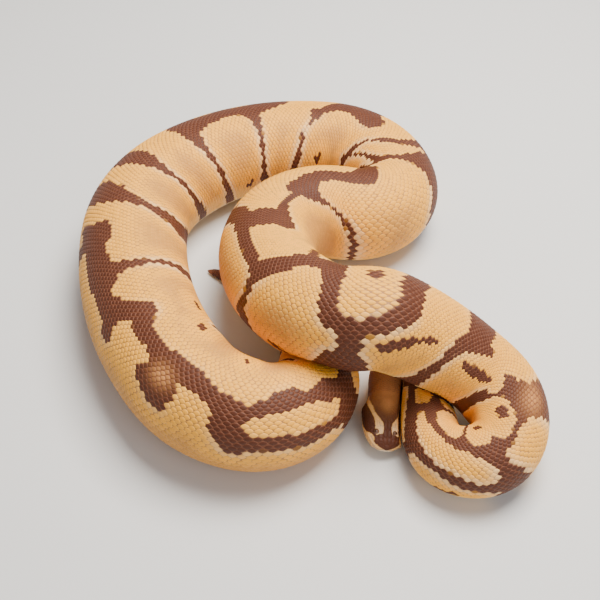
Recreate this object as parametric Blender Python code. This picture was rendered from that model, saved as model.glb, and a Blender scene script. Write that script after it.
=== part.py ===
"""Coiled ball python, life size, as one animal lying at rest on a flat surface.

The body is one long tube swept along a centreline.  The centreline is laid out
in stretches, each with a length, a turn to the left, the height of its belly
above the ground and a radius.  Where the body lies on the ground, or on or
beside itself, the tube flattens against it.  The tube is parted into named
lengths, the head into skull side and lower jaw, and the eyes sit in sockets.
"""
import bpy
import math
import numpy as np

CM = 0.01
GAP = 0.0003                  # between pieces that touch
CONTACT_GAP = 0.0006          # between lengths of the body that lie against each other
GROUND_SQUASH = 0.93          # axis height of a resting stretch, over its radius
EASE = 0.030                  # length over which one stretch runs into the next
STEP = 0.001                  # spacing of the centreline's own points
OWN_BEND = 1.5                # sections this many radii away count as part of the same bend
BEND_LIMIT = 0.94             # how near the skin inside a bend comes to where its sections cross
BEND_EASE = 0.25              # rounding there, over the radius
CONTACT_REACH = 1.25          # lengths nearer than this, over their radii's sum, are parted
CONTACT_EASE = 0.12           # rounding where two lengths meet, over the radius
GROUND_EASE = 0.05            # rounding at the edge of the belly's flat, over the radius
LEAST_REACH = 0.2             # no surface comes nearer the axis than this, over the radius
FACING = 0.02                 # a plane this nearly along a ray doesn't stop it
FAR = 1e3                     # stands for "nothing in the way"

# Snout tip: place on the ground, heading, belly height, radius
START = (5.04 * CM, -12.60 * CM, math.radians(90), 0.35 * CM, 0.50 * CM)

# name, length cm, turn to the left deg, belly height at its end cm, radius at its end cm
STRETCHES = (
    ("head", 3.5, -4, 0.15, 1.13),
    ("neck", 2.3, -15.5, 0.02, 1.20),
    ("nape turn", 2.85, -169, 0.00, 1.52),
    ("beside the head", 4.8, 11.5, 0.05, 1.67),
    ("small curl", 5.0, 144, 0.00, 2.30),
    ("curl rising", 4.7, 95, 1.20, 2.50),
    ("climb", 6.1, 33.5, 4.20, 2.95),
    ("crossing", 4.5, -55, 3.40, 3.00),
    ("coming down", 8.3, -50, 0.95, 3.10),
    ("inner bend", 6.7, -91.5, 0.15, 3.15),
    ("far hairpin", 5.6, 107, 0.05, 2.90),
    ("far leg", 7.4, 82, 0.00, 3.00),
    ("far arc", 11.8, 51, 0.00, 3.35),
    ("left arc", 6.2, 42.5, 0.00, 3.45),
    ("left side", 6.8, 18, 0.00, 3.45),
    ("near left", 6.1, 18, 0.00, 3.40),
    ("near arc", 4.6, 42, 0.00, 3.20),
    ("turning in", 5.3, 93.5, 0.10, 2.55),
    ("under the arc", 7.0, 48, 0.00, 1.50),
    ("tail", 4.6, 5, 0.00, 0.60),
    ("tail tip", 2.7, 19.5, 0.00, 0.15),
)

# Where the body is parted: node name and its far end, cm along the body from the snout
HEAD_LENGTH = 3.65 * CM
LENGTHS = (
    ("neck", 7.7),
    ("nape_turn", 12.5),
    ("small_curl_front", 17.0),
    ("small_curl_rear", 22.0),
    ("crossing", 32.5),
    ("inner_bend_near", 42.5),
    ("inner_bend_far", 51.5),
    ("far_hairpin", 59.5),
    ("far_leg", 69.5),
    ("far_arc", 80.5),
    ("left_side", 91.0),
    ("near_left", 99.0),
    ("near_turn", 105.5),
    ("hind_trunk", 112.0),
    ("tail", None),
)

# Head sections: distance behind the snout, half-width, height above and depth below the axis, cm
HEAD_SECTIONS = (
    (0.00, 0.62, 0.30, 0.36),
    (0.45, 0.98, 0.44, 0.46),
    (0.90, 1.20, 0.56, 0.52),
    (1.35, 1.32, 0.68, 0.58),
    (2.00, 1.38, 0.84, 0.68),
    (2.60, 1.42, 0.96, 0.82),
    (3.00, 1.18, 1.02, 0.92),
    (3.40, 1.04, 1.06, 0.98),
    (4.20, 1.06, 1.10, 1.04),
    (5.50, 1.20, 1.20, 1.18),
)
HEAD_SQUARENESS = 2.5         # section exponent at the head; a plain ellipse is 2
SQUARE_FADE = (3.1 * CM, 4.6 * CM)  # over this stretch the section becomes a plain ellipse
NECK_FADE = (4.2 * CM, 5.5 * CM)    # over this stretch the head's section becomes the body's
HEAD_ROLL = math.radians(12)  # the head leans a little onto its left cheek
ROLL_END = 6.5 * CM           # the body is upright from here back
ROLL_FADE = 0.7               # how early the lean goes; 1 is evenly
SNOUT_ROUND = 0.42 * CM       # length over which the snout closes
TAIL_ROUND = 0.60 * CM        # length over which the tail tip closes
MOUTH_DEPTH = 0.13 * CM       # mouth line below the axis at the snout
MOUTH_SAG = 0.11 * CM         # how much lower it runs at mid jaw
JAW_HINGE = 2.75 * CM         # where the mouth ends, behind the snout

EYE_RADIUS = 0.19 * CM
EYE_BEHIND_SNOUT = 0.97 * CM
EYE_HEIGHT = 0.44 * CM        # above the head's axis
EYE_INSET = 0.24 * CM         # centre inside the cheek

SIDES = 24                    # facets round the body
RING_PITCH = 0.36             # ring spacing over the body's radius
UPPER_SIDES = 20              # points across a section of the head above the mouth line
JAW_SIDES = 15                # and below it
JAW_RINGS = 12
THROAT_RINGS = 5
EYE_FACETS = (14, 8)          # segments, rows
SNOUT_RINGS = np.array([0.02, 0.08, 0.2, 0.4, 0.7])  # places of the first rings, over the rounding
TAIL_RINGS = np.array([0.75, 0.5, 0.25, 0.1])        # and of the last ones, from the tip
TIP_CUT = 0.0004              # the tail's last ring stops this far short of its tip
BACK_CLOSED = math.radians(178.5)  # behind the mouth the upper sections run nearly all round
SKIN = (0.52, 0.40, 0.25)
DARK_SKIN = (0.16, 0.10, 0.075)
JAW_SKIN = (0.72, 0.62, 0.46)
EYE_BLACK = (0.012, 0.010, 0.010)


def eased(values, window):
    """Moving average with a raised-cosine weight, the ends held level."""
    weight = np.hanning(window + 2)[1:-1]
    half = window // 2
    padded = np.pad(values, (half, window - 1 - half), mode="edge")
    return np.convolve(padded, weight / weight.sum(), mode="valid")


def running_sum(values, step):
    """Integral from zero by the trapezium rule."""
    middle = (values[1:] + values[:-1]) / 2 * step
    return np.concatenate([[0.0], np.cumsum(middle)])


class Centreline:
    """The axis of the body: s along it, point c, radius r, frame tangent, side and top."""

    def __init__(self):
        x0, y0, heading0, lift0, radius0 = START
        ends = np.concatenate([[0.0], np.cumsum([row[1] * CM for row in STRETCHES])])
        turned = np.concatenate([[0.0], np.cumsum([math.radians(row[2]) for row in STRETCHES])])
        lifts = np.array([lift0] + [row[3] * CM for row in STRETCHES])
        radii = np.array([radius0] + [row[4] * CM for row in STRETCHES])
        along = np.arange(int(round(ends[-1] / STEP)) + 1) * STEP
        window = int(EASE / STEP)
        bending = eased(np.gradient(np.interp(along, ends, turned), STEP), window)
        heading = heading0 + running_sum(bending, STEP)
        x = x0 + running_sum(np.cos(heading), STEP)
        y = y0 + running_sum(np.sin(heading), STEP)
        z = eased(np.interp(along, ends, GROUND_SQUASH * radii + lifts), window)
        self.c = np.stack([x, y, z], axis=1)
        self.r = eased(np.interp(along, ends, radii), window)
        steps = np.linalg.norm(np.diff(self.c, axis=0), axis=1)
        self.s = np.concatenate([[0.0], np.cumsum(steps)])
        tangent = np.gradient(self.c, self.s, axis=0)
        self.tangent = tangent / np.linalg.norm(tangent, axis=1, keepdims=True)
        self.length = self.s[-1]

    def at(self, s):
        """Centre, radius and frame at the places s, by linear interpolation."""
        def read(table):
            return np.stack([np.interp(s, self.s, column) for column in table.T], axis=1)
        tangent = read(self.tangent)
        tangent /= np.linalg.norm(tangent, axis=1, keepdims=True)
        side = np.cross((0.0, 0.0, 1.0), tangent)
        side /= np.linalg.norm(side, axis=1, keepdims=True)
        top = np.cross(tangent, side)
        lean = HEAD_ROLL * np.clip(1 - s / ROLL_END, 0, 1) ** ROLL_FADE
        cos, sin = np.cos(lean)[:, None], np.sin(lean)[:, None]
        side, top = cos * side + sin * top, cos * top - sin * side
        return read(self.c), np.interp(s, self.s, self.r), tangent, side, top


BODY = Centreline()


def soft_min(a, b, k):
    """The smaller of a and b, rounded over where they differ by less than k."""
    h = np.clip(k - np.abs(a - b), 0, None) / k
    return np.minimum(a, b) - h * h * k / 4


def blocked(distance, facing):
    """Length of a ray up to a plane at a distance, or FAR where the ray doesn't face it."""
    return np.where(facing > FACING, distance / np.maximum(facing, FACING), FAR)


def head_section(s):
    """Half-width, height, depth and squareness of the section at s."""
    table = np.array(HEAD_SECTIONS) * CM
    fine = np.linspace(0, table[-1, 0], 200)
    wide, high, deep = (eased(np.interp(fine, table[:, 0], table[:, k]), 25) for k in (1, 2, 3))
    width, height, depth = (np.interp(s, fine, values) for values in (wide, high, deep))
    faded = np.clip((s - SQUARE_FADE[0]) / (SQUARE_FADE[1] - SQUARE_FADE[0]), 0, 1)
    square = 2 + (HEAD_SQUARENESS - 2) * (1 - faded)
    return width, height, depth, square


def free_radius(s, theta, r):
    """Radius at angle theta from the back, before the body meets anything."""
    width, height, depth, square = (value[:, None] for value in head_section(s))
    up = np.abs(np.cos(theta))[None, :]
    across = np.abs(np.sin(theta))[None, :]
    reach = np.where(np.cos(theta)[None, :] >= 0, height, depth)
    head = ((across / width) ** square + (up / reach) ** square) ** (-1 / square)
    mix = np.clip((s - NECK_FADE[0]) / (NECK_FADE[1] - NECK_FADE[0]), 0, 1)[:, None]
    radius = head * (1 - mix) + r[:, None] * mix
    snout = np.clip(1 - s / SNOUT_ROUND, 0, 1)
    tail = np.clip(1 - (BODY.length - s) / TAIL_ROUND, 0, 1)
    return radius * (np.sqrt(1 - snout ** 2) * np.sqrt(1 - tail ** 2))[:, None]


def surface(s, theta):
    """Points of the skin at places s and angles theta, from the back towards the right side.

    A ray from the axis stops at the smallest of: the free radius, the sections
    just before and behind it, which lean towards each other inside a bend, the
    planes that part it from other lengths of the body (where both circles have
    the same power), and the ground.
    """
    c, r, _, side, top = BODY.at(s)
    up, across = np.cos(theta)[None, :, None], np.sin(theta)[None, :, None]
    ray = up * top[:, None, :] + across * side[:, None, :]
    crossing = np.full((len(s), len(theta)), FAR)
    nearest = np.full((len(s), len(theta)), FAR)
    samples = zip(BODY.s[::2], BODY.c[::2], BODY.tangent[::2], BODY.r[::2])
    for place, centre, ahead, radius in samples:
        apart = centre - c
        along = place - s
        close = (np.abs(along) < OWN_BEND * r) & (np.abs(along) > STEP / 2)
        if close.any():
            facing = (ray[close] @ ahead) * np.sign(along[close])[:, None]
            stop = blocked(np.abs(apart[close] @ ahead)[:, None], facing)
            crossing[close] = np.minimum(crossing[close], stop)
        distance = np.linalg.norm(apart, axis=1)
        other = np.abs(along) > 2 * np.maximum(r, radius)
        other &= distance < CONTACT_REACH * (r + radius)
        if other.any():
            distance, r_here = distance[other], r[other]
            plane = distance / 2 + (r_here ** 2 - radius ** 2) / (2 * distance) - CONTACT_GAP / 2
            facing = np.einsum("stk,sk->st", ray[other], apart[other] / distance[:, None])
            nearest[other] = np.minimum(nearest[other], blocked(plane[:, None], facing))
    least = LEAST_REACH * r[:, None]
    reach = free_radius(s, theta, r)
    reach = soft_min(reach, np.maximum(BEND_LIMIT * crossing, least), BEND_EASE * r[:, None])
    reach = soft_min(reach, np.maximum(nearest, least), CONTACT_EASE * r[:, None])
    reach = soft_min(reach, blocked(c[:, 2:3], -ray[:, :, 2]), GROUND_EASE * r[:, None])
    return c[:, None, :] + ray * reach[:, :, None], ray, reach


def ring_places(start, end):
    """Places from start to end, spaced by the radius there."""
    fine = np.linspace(start, end, 400)
    count = running_sum(1 / (RING_PITCH * np.interp(fine, BODY.s, BODY.r)), fine[1] - fine[0])
    rings = max(3, int(round(count[-1])) + 1)
    return np.interp(np.linspace(0, count[-1], rings), count, fine)


def closed_mesh(name, rings):
    """A closed loft through rings of points, with a fan at each end."""
    count, sides = rings.shape[:2]
    points = np.concatenate([rings.reshape(-1, 3), rings[0].mean(0)[None], rings[-1].mean(0)[None]])
    first, last = count * sides, count * sides + 1
    row = np.arange(sides)
    after = (row + 1) % sides
    faces = [(first, int(a), int(b)) for a, b in zip(row, after)]
    for ring in range(count - 1):
        near, far = ring * sides, (ring + 1) * sides
        faces += [tuple(map(int, (near + b, near + a, far + a, far + b))) for a, b in zip(row, after)]
    end = (count - 1) * sides
    faces += [(last, int(end + b), int(end + a)) for a, b in zip(row, after)]
    mesh = bpy.data.meshes.new(name)
    mesh.from_pydata(points.tolist(), [], faces)
    mesh.update()
    return mesh


def material(name, colour, roughness):
    """A Principled material with one colour."""
    made = bpy.data.materials.new(name)
    made.use_nodes = True
    shader = made.node_tree.nodes["Principled BSDF"]
    shader.inputs["Base Color"].default_value = (*colour, 1.0)
    shader.inputs["Roughness"].default_value = roughness
    shader.inputs["Metallic"].default_value = 0.0
    return made


def add(name, mesh, colour, roughness=0.45):
    """Puts a mesh in the scene as a smooth-shaded named piece."""
    piece = bpy.data.objects.new(name, mesh)
    bpy.context.scene.collection.objects.link(piece)
    mesh.materials.append(material("mat_" + name, colour, roughness))
    mesh.shade_smooth()
    mesh.set_sharp_from_angle(angle=math.radians(50))
    return piece


def make_lengths():
    """Neck, trunk lengths and tail, parted by thin straight cuts."""
    theta = np.linspace(0, 2 * np.pi, SIDES, endpoint=False)
    start = HEAD_LENGTH
    for name, end_cm in LENGTHS:
        is_tail = end_cm is None
        end = BODY.length - TIP_CUT if is_tail else end_cm * CM
        places = ring_places(start + GAP / 2, end - (0 if is_tail else GAP / 2))
        if is_tail:
            places = np.sort(np.concatenate([places, BODY.length - TAIL_ROUND * TAIL_RINGS]))
        rings, _, _ = surface(places, theta)
        add(name, closed_mesh(name, rings), SKIN)
        start = end


def mouth_height(s):
    """Height of the mouth line against the head's axis at s."""
    along = np.clip(s / JAW_HINGE, 0, 1)
    return -MOUTH_DEPTH - MOUTH_SAG * np.sin(np.pi * along)


def head_rings(places, theta_count, above):
    """Sections of the head above or below the mouth line, each closed by a chord along it."""
    theta = np.linspace(0, 2 * np.pi, 721)
    c, _, _, side, top = BODY.at(places)
    _, _, reach = surface(places, theta)
    rings = []
    for k, place in enumerate(places):
        height = mouth_height(place) + (GAP / 2 if above else -GAP / 2)
        outline = reach[k, :361] * np.cos(theta[:361])
        edge = np.interp(-height, -outline, theta[:361])
        if above and place > JAW_HINGE:
            edge = BACK_CLOSED
        low, high = (-edge, edge) if above else (edge, 2 * np.pi - edge)
        angle = np.linspace(low, high, theta_count)
        radius = np.interp(angle % (2 * np.pi), theta, reach[k])
        ray = np.cos(angle)[:, None] * top[k] + np.sin(angle)[:, None] * side[k]
        rings.append(c[k] + radius[:, None] * ray)
    return np.array(rings)


def eye_centre(sign):
    """Centre of an eye: just inside the cheek, above the axis."""
    place = np.array([EYE_BEHIND_SNOUT])
    c, _, _, side, top = BODY.at(place)
    theta = np.linspace(0, np.pi, 181)
    _, _, reach = surface(place, theta * sign)
    edge = np.interp(-EYE_HEIGHT, -reach[0] * np.cos(theta), theta)
    out = np.interp(edge, theta, reach[0]) * math.sin(edge) - EYE_INSET
    return c[0] + sign * out * side[0] + EYE_HEIGHT * top[0]


def ball(name, centre, radius):
    """A ball of the given radius."""
    segments, rows = EYE_FACETS
    bpy.ops.mesh.primitive_uv_sphere_add(
        segments=segments, ring_count=rows, radius=radius, location=centre)
    made = bpy.context.object
    made.name = name
    made.data.name = name
    return made


def make_head():
    """Skull side with eye sockets, lower jaw, and two eyes."""
    mouth = np.linspace(SNOUT_ROUND, JAW_HINGE - GAP, JAW_RINGS)
    mouth = np.concatenate([SNOUT_ROUND * SNOUT_RINGS, mouth])
    throat = np.linspace(JAW_HINGE + GAP, HEAD_LENGTH - GAP / 2, THROAT_RINGS)
    upper = head_rings(np.concatenate([mouth, throat]), UPPER_SIDES, True)
    jaw = head_rings(mouth[:-1], JAW_SIDES, False)
    skull = add("head_upper", closed_mesh("head_upper", upper), DARK_SKIN)
    add("lower_jaw", closed_mesh("lower_jaw", jaw), JAW_SKIN)
    for name, sign in (("eye_right", 1), ("eye_left", -1)):
        centre = eye_centre(sign)
        eye = ball(name, centre, EYE_RADIUS)
        eye.data.materials.append(material("mat_" + name, EYE_BLACK, 0.08))
        eye.data.shade_smooth()
        socket = ball("socket_" + name, centre, EYE_RADIUS + GAP)
        socket.hide_render = True
        socket.display_type = "WIRE"
        cut = skull.modifiers.new("socket_" + name, "BOOLEAN")
        cut.operation = "DIFFERENCE"
        cut.solver = "EXACT"
        cut.object = socket


for old in list(bpy.data.objects):
    bpy.data.objects.remove(old, do_unlink=True)
make_head()
make_lengths()
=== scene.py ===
# %% [markdown]
# # A ball python at rest
# The animal lies in loose coils with its head low between two of them.  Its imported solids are
# loaded first and never change: they give the true outline and what touches the floor.
# This script covers them with what the eye sees, which is a skin, about twenty-four thousand
# scales, the plates of the head and belly, and two eyes.

# %% Load the frame
import math

import bpy
import numpy as np
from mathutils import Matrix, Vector


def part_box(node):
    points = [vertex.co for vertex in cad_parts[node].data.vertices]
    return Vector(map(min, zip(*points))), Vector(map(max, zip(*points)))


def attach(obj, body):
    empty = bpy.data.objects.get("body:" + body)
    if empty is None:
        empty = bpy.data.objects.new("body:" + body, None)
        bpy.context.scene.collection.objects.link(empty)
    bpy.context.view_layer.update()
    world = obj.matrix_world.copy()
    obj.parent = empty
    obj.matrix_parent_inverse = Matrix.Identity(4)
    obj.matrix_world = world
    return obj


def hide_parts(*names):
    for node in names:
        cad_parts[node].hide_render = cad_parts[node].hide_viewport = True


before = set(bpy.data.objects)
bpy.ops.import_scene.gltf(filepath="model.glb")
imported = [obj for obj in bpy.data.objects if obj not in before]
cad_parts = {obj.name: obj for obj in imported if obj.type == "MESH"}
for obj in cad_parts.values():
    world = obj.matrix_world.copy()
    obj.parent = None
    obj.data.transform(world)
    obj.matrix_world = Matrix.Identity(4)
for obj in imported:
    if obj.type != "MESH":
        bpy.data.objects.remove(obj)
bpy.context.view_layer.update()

CM = 0.01
MM = 0.001
TURN = 2 * math.pi

# %% [markdown]
# ## The axis of the body
# A snake is one tube along a curve, so every scale and every marking can be placed by two
# numbers: how far it is from the snout, and the angle round the body from the middle of the
# back.  The curve is laid out in the same stretches as the solids, each with a length, a turn
# to the left, the height of its belly and a radius.  It could be traced from the solids
# instead, but a short table keeps the two numbers exact from the snout to the tail's tip.

# %% Stretches of the axis
GROUND_SQUASH = 0.93
EASE = 0.030
STEP = 0.001
START = (5.04 * CM, -12.60 * CM, math.radians(90), 0.35 * CM, 0.50 * CM)
STRETCHES = (
    # name, length cm, turn to the left deg, belly height at its end cm, radius at its end cm
    ("head", 3.5, -4, 0.15, 1.13),
    ("neck", 2.3, -15.5, 0.02, 1.20),
    ("nape turn", 2.85, -169, 0.00, 1.52),
    ("beside the head", 4.8, 11.5, 0.05, 1.67),
    ("small curl", 5.0, 144, 0.00, 2.30),
    ("curl rising", 4.7, 95, 1.20, 2.50),
    ("climb", 6.1, 33.5, 4.20, 2.95),
    ("crossing", 4.5, -55, 3.40, 3.00),
    ("coming down", 8.3, -50, 0.95, 3.10),
    ("inner bend", 6.7, -91.5, 0.15, 3.15),
    ("far hairpin", 5.6, 107, 0.05, 2.90),
    ("far leg", 7.4, 82, 0.00, 3.00),
    ("far arc", 11.8, 51, 0.00, 3.35),
    ("left arc", 6.2, 42.5, 0.00, 3.45),
    ("left side", 6.8, 18, 0.00, 3.45),
    ("near left", 6.1, 18, 0.00, 3.40),
    ("near arc", 4.6, 42, 0.00, 3.20),
    ("turning in", 5.3, 93.5, 0.10, 2.55),
    ("under the arc", 7.0, 48, 0.00, 1.50),
    ("tail", 4.6, 5, 0.00, 0.60),
    ("tail tip", 2.7, 19.5, 0.00, 0.15),
)
HEAD_ROLL = math.radians(12)
ROLL_END = 6.5 * CM
ROLL_FADE = 0.7
print(len(STRETCHES), "stretches,", round(sum(row[1] for row in STRETCHES), 1), "cm before they are eased")

# %% [markdown]
# The turns are eased where one stretch meets the next, so that the curve has no kinks.  Adding
# them up gives the heading, and adding up small steps along it gives the place.  A curve object
# with handles could be bent to the same shape, but it wouldn't tell the distance or the turn.

# %% Add up the turns
def nearest_turn(angle):
    """The same direction, as an angle between half a turn left and half a turn right."""
    return (angle + math.pi) % TURN - math.pi


def fade(values, start, end):
    """Rises evenly from 0 at start to 1 at end, and stays there."""
    return np.clip((values - start) / (end - start), 0, 1)


def eased(values, window):
    """Moving average with a raised-cosine weight, the ends held level."""
    weight = np.hanning(window + 2)[1:-1]
    half = window // 2
    padded = np.pad(values, (half, window - 1 - half), mode="edge")
    return np.convolve(padded, weight / weight.sum(), mode="valid")


def running_sum(values, step):
    """Integral from zero by the trapezium rule."""
    middle = (values[1:] + values[:-1]) / 2 * step
    return np.concatenate([[0.0], np.cumsum(middle)])


def lay_out_axis():
    """Heading is the integral of the eased turns, place is the integral of the heading."""
    x0, y0, heading0, lift0, radius0 = START
    ends = np.concatenate([[0.0], np.cumsum([row[1] * CM for row in STRETCHES])])
    turned = np.concatenate([[0.0], np.cumsum([math.radians(row[2]) for row in STRETCHES])])
    lifts = np.array([lift0] + [row[3] * CM for row in STRETCHES])
    radii = np.array([radius0] + [row[4] * CM for row in STRETCHES])
    along = np.arange(int(round(ends[-1] / STEP)) + 1) * STEP
    window = int(EASE / STEP)
    bending = eased(np.gradient(np.interp(along, ends, turned), STEP), window)
    heading = heading0 + running_sum(bending, STEP)
    x = x0 + running_sum(np.cos(heading), STEP)
    y = y0 + running_sum(np.sin(heading), STEP)
    z = eased(np.interp(along, ends, GROUND_SQUASH * radii + lifts), window)
    centre = np.stack([x, y, z], axis=1)
    radius = eased(np.interp(along, ends, radii), window)
    place = np.concatenate([[0.0], np.cumsum(np.linalg.norm(np.diff(centre, axis=0), axis=1))])
    tangent = np.gradient(centre, place, axis=0)
    tangent /= np.linalg.norm(tangent, axis=1, keepdims=True)
    return place, centre, radius, tangent


axis_s, axis_centre, axis_radius, axis_tangent = lay_out_axis()
LENGTH = axis_s[-1]
print("snout to tail tip", round(LENGTH * 100, 1), "cm, thickest", round(axis_radius.max() * 200, 2), "cm")

# %% [markdown]
# Everything later asks for the axis at some distance from the snout.  There it has a top and a
# side, square to its direction.  On the head both lean over a little, as the head rests askew.

# %% Read the axis
def columns_at(s, table):
    """Each column of a table of the axis, read at the places s."""
    return np.stack([np.interp(s, axis_s, column) for column in table.T], axis=-1)


def radius_at(s):
    """Radius of the body at s."""
    return np.interp(s, axis_s, axis_radius)


def frame_at(s):
    """Centre, radius, and the side and top directions at s; the head's lean fades down the neck."""
    tangent = columns_at(s, axis_tangent)
    side = np.cross((0.0, 0.0, 1.0), tangent)
    side /= np.linalg.norm(side, axis=1, keepdims=True)
    tangent /= np.linalg.norm(tangent, axis=1, keepdims=True)
    top = np.cross(tangent, side)
    lean = HEAD_ROLL * np.clip(1 - s / ROLL_END, 0, 1) ** ROLL_FADE
    cos, sin = np.cos(lean)[:, None], np.sin(lean)[:, None]
    return columns_at(s, axis_centre), radius_at(s), cos * side + sin * top, cos * top - sin * side

# %% [markdown]
# ## The surface of the flesh
# Free of everything, a section of the trunk is a circle and a section of the head a squarish
# oval.  Each point of it is found on a ray from the axis.  The ray is cut short by the
# sections just before and behind it, which lean together inside a bend, by the planes where
# one length of the body lies against another, and by the ground, so the soft animal is flat
# where it rests.  The result is kept in a fine table, and everything later reads that table.

# %% Measures of the flesh
CONTACT_GAP = 0.6 * MM
OWN_BEND = 1.5
BEND_LIMIT = 0.94
BEND_EASE = 0.25
CONTACT_REACH = 1.25
CONTACT_EASE = 0.12
GROUND_EASE = 0.05
LEAST_REACH = 0.2
FACING = 0.02
FAR = 1e3
HEAD_SECTIONS = (
    # distance behind the snout, half-width, height above and depth below the axis, cm
    (0.00, 0.62, 0.30, 0.36),
    (0.45, 0.98, 0.44, 0.46),
    (0.90, 1.20, 0.56, 0.52),
    (1.35, 1.32, 0.68, 0.58),
    (2.00, 1.38, 0.84, 0.68),
    (2.60, 1.42, 0.96, 0.82),
    (3.00, 1.18, 1.02, 0.92),
    (3.40, 1.04, 1.06, 0.98),
    (4.20, 1.06, 1.10, 1.04),
    (5.50, 1.20, 1.20, 1.18),
)
HEAD_STEPS = 200
HEAD_EASE = 25
HEAD_SQUARENESS = 2.5
SQUARE_FADE = (3.1 * CM, 4.6 * CM)
NECK_FADE = (4.2 * CM, 5.5 * CM)
SNOUT_ROUND = 0.42 * CM
TAIL_ROUND = 0.60 * CM

# %% [markdown]
# The head is wider than it is high, flat on top, and pinched behind the jaws.  Its sections are
# given in a short table and eased from one to the next.  Sculpting would give finer muscles, but
# a table can be compared with the solids and is the same each time.

# %% Sections of the flesh
def soft_min(a, b, k):
    """The smaller of a and b, rounded over where they differ by less than k."""
    h = np.clip(k - np.abs(a - b), 0, None) / k
    return np.minimum(a, b) - h * h * k / 4


def blocked(distance, facing):
    """Length of a ray up to a plane at a distance, or FAR where the ray doesn't face it."""
    return np.where(facing > FACING, distance / np.maximum(facing, FACING), FAR)


def head_section(s):
    """Half-width, height, depth and squareness of the section at s."""
    table = np.array(HEAD_SECTIONS) * CM
    fine = np.linspace(0, table[-1, 0], HEAD_STEPS)
    wide, high, deep = (eased(np.interp(fine, table[:, 0], column), HEAD_EASE) for column in table.T[1:])
    width, height, depth = (np.interp(s, fine, values) for values in (wide, high, deep))
    return width, height, depth, 2 + (HEAD_SQUARENESS - 2) * (1 - fade(s, *SQUARE_FADE))


def free_radius(s, t, r):
    """Superellipse on the head, circle on the body, closed to a point at both ends."""
    width, height, depth, square = (value[:, None] for value in head_section(s))
    up, across = np.abs(np.cos(t))[None, :], np.abs(np.sin(t))[None, :]
    reach = np.where(np.cos(t)[None, :] >= 0, height, depth)
    head = ((across / width) ** square + (up / reach) ** square) ** (-1 / square)
    mix = fade(s, *NECK_FADE)[:, None]
    snout = np.clip(1 - s / SNOUT_ROUND, 0, 1)
    tail = np.clip(1 - (LENGTH - s) / TAIL_ROUND, 0, 1)
    closing = np.sqrt(1 - snout ** 2) * np.sqrt(1 - tail ** 2)
    return (head * (1 - mix) + r[:, None] * mix) * closing[:, None]

# %% [markdown]
# In a tight bend the inner side folds up, two coils press each other flat, and the ground flattens
# both.  Cutting the rays short does all three in one pass.  A cloth or soft-body simulation would
# find them too, but slowly, and it would lose the two numbers of each point.

# %% Cut the rays short
def flesh(s, t):
    """Points of the surface on rays at angles t from places s, and the rays; each stop eases in."""
    c, r, side, top = frame_at(s)
    ray = np.cos(t)[None, :, None] * top[:, None, :] + np.sin(t)[None, :, None] * side[:, None, :]
    crossing = np.full((len(s), len(t)), FAR)
    nearest = np.full((len(s), len(t)), FAR)
    samples = zip(axis_s[::2], axis_centre[::2], axis_tangent[::2], axis_radius[::2])
    for place, centre, ahead, radius in samples:
        apart = centre - c
        along = place - s
        close = (np.abs(along) < OWN_BEND * r) & (np.abs(along) > STEP / 2)
        if close.any():
            facing = (ray[close] @ ahead) * np.sign(along[close])[:, None]
            stop = blocked(np.abs(apart[close] @ ahead)[:, None], facing)
            crossing[close] = np.minimum(crossing[close], stop)
        distance = np.linalg.norm(apart, axis=1)
        other = np.abs(along) > 2 * np.maximum(r, radius)
        other &= distance < CONTACT_REACH * (r + radius)
        if other.any():
            distance, r_here = distance[other], r[other]
            plane = distance / 2 + (r_here ** 2 - radius ** 2) / (2 * distance) - CONTACT_GAP / 2
            facing = np.einsum("stk,sk->st", ray[other], apart[other] / distance[:, None])
            nearest[other] = np.minimum(nearest[other], blocked(plane[:, None], facing))
    least = LEAST_REACH * r[:, None]
    reach = free_radius(s, t, r)
    reach = soft_min(reach, np.maximum(BEND_LIMIT * crossing, least), BEND_EASE * r[:, None])
    reach = soft_min(reach, np.maximum(nearest, least), CONTACT_EASE * r[:, None])
    reach = soft_min(reach, blocked(c[:, 2:3], -ray[:, :, 2]), GROUND_EASE * r[:, None])
    return c[:, None, :] + ray * reach[:, :, None], ray

# %% [markdown]
# Working out the rays takes a second or two, so it is done once, on a grid that is fine at the
# snout and the tail.  The skin lies below the solids' surface by the depth of the coat, and each
# point's outward direction says which way a scale stands.

# %% Keep the surface in a table
TABLE_SIDES = 256
COAT_DEPTH = 0.42 * MM
TIP_GAP = 0.002
FLAT = 1e-6
ends_fine = np.array([0, 0.01, 0.04, 0.09, 0.16, 0.25, 0.4, 0.6, 0.8, 1.0, 1.25, 1.5, 1.75]) * MM
table_s = np.concatenate([ends_fine, np.arange(2, 42, 0.25) * MM,
                          np.arange(0.042, LENGTH - TIP_GAP, 0.001), LENGTH - ends_fine[::-1]])
table_t = np.arange(TABLE_SIDES) * TURN / TABLE_SIDES


def tabulate():
    """The surface on the table's grid, its outward normal, and how far the grid is stretched."""
    points, ray = flesh(table_s, table_t)
    along = np.gradient(points, table_s, axis=0)
    round_ = (np.roll(points, -1, axis=1) - np.roll(points, 1, axis=1)) / (2 * table_t[1])
    normal = np.cross(along, round_)
    normal *= np.sign((normal * ray).sum(-1, keepdims=True))
    size = np.linalg.norm(normal, axis=-1, keepdims=True)
    ends = np.where(table_s[:, None, None] < LENGTH / 2, -1, 1)
    tip = columns_at(table_s, axis_tangent)[:, None, :] * ends
    normal = np.where(size > FLAT, normal / np.maximum(size, FLAT), tip)
    return points, normal, np.linalg.norm(along, axis=-1), np.linalg.norm(round_, axis=-1)


table_points, table_normal, table_stretch, table_girth = tabulate()
table_points = table_points - COAT_DEPTH * table_normal
print("surface table", table_points.shape[:2])


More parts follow.
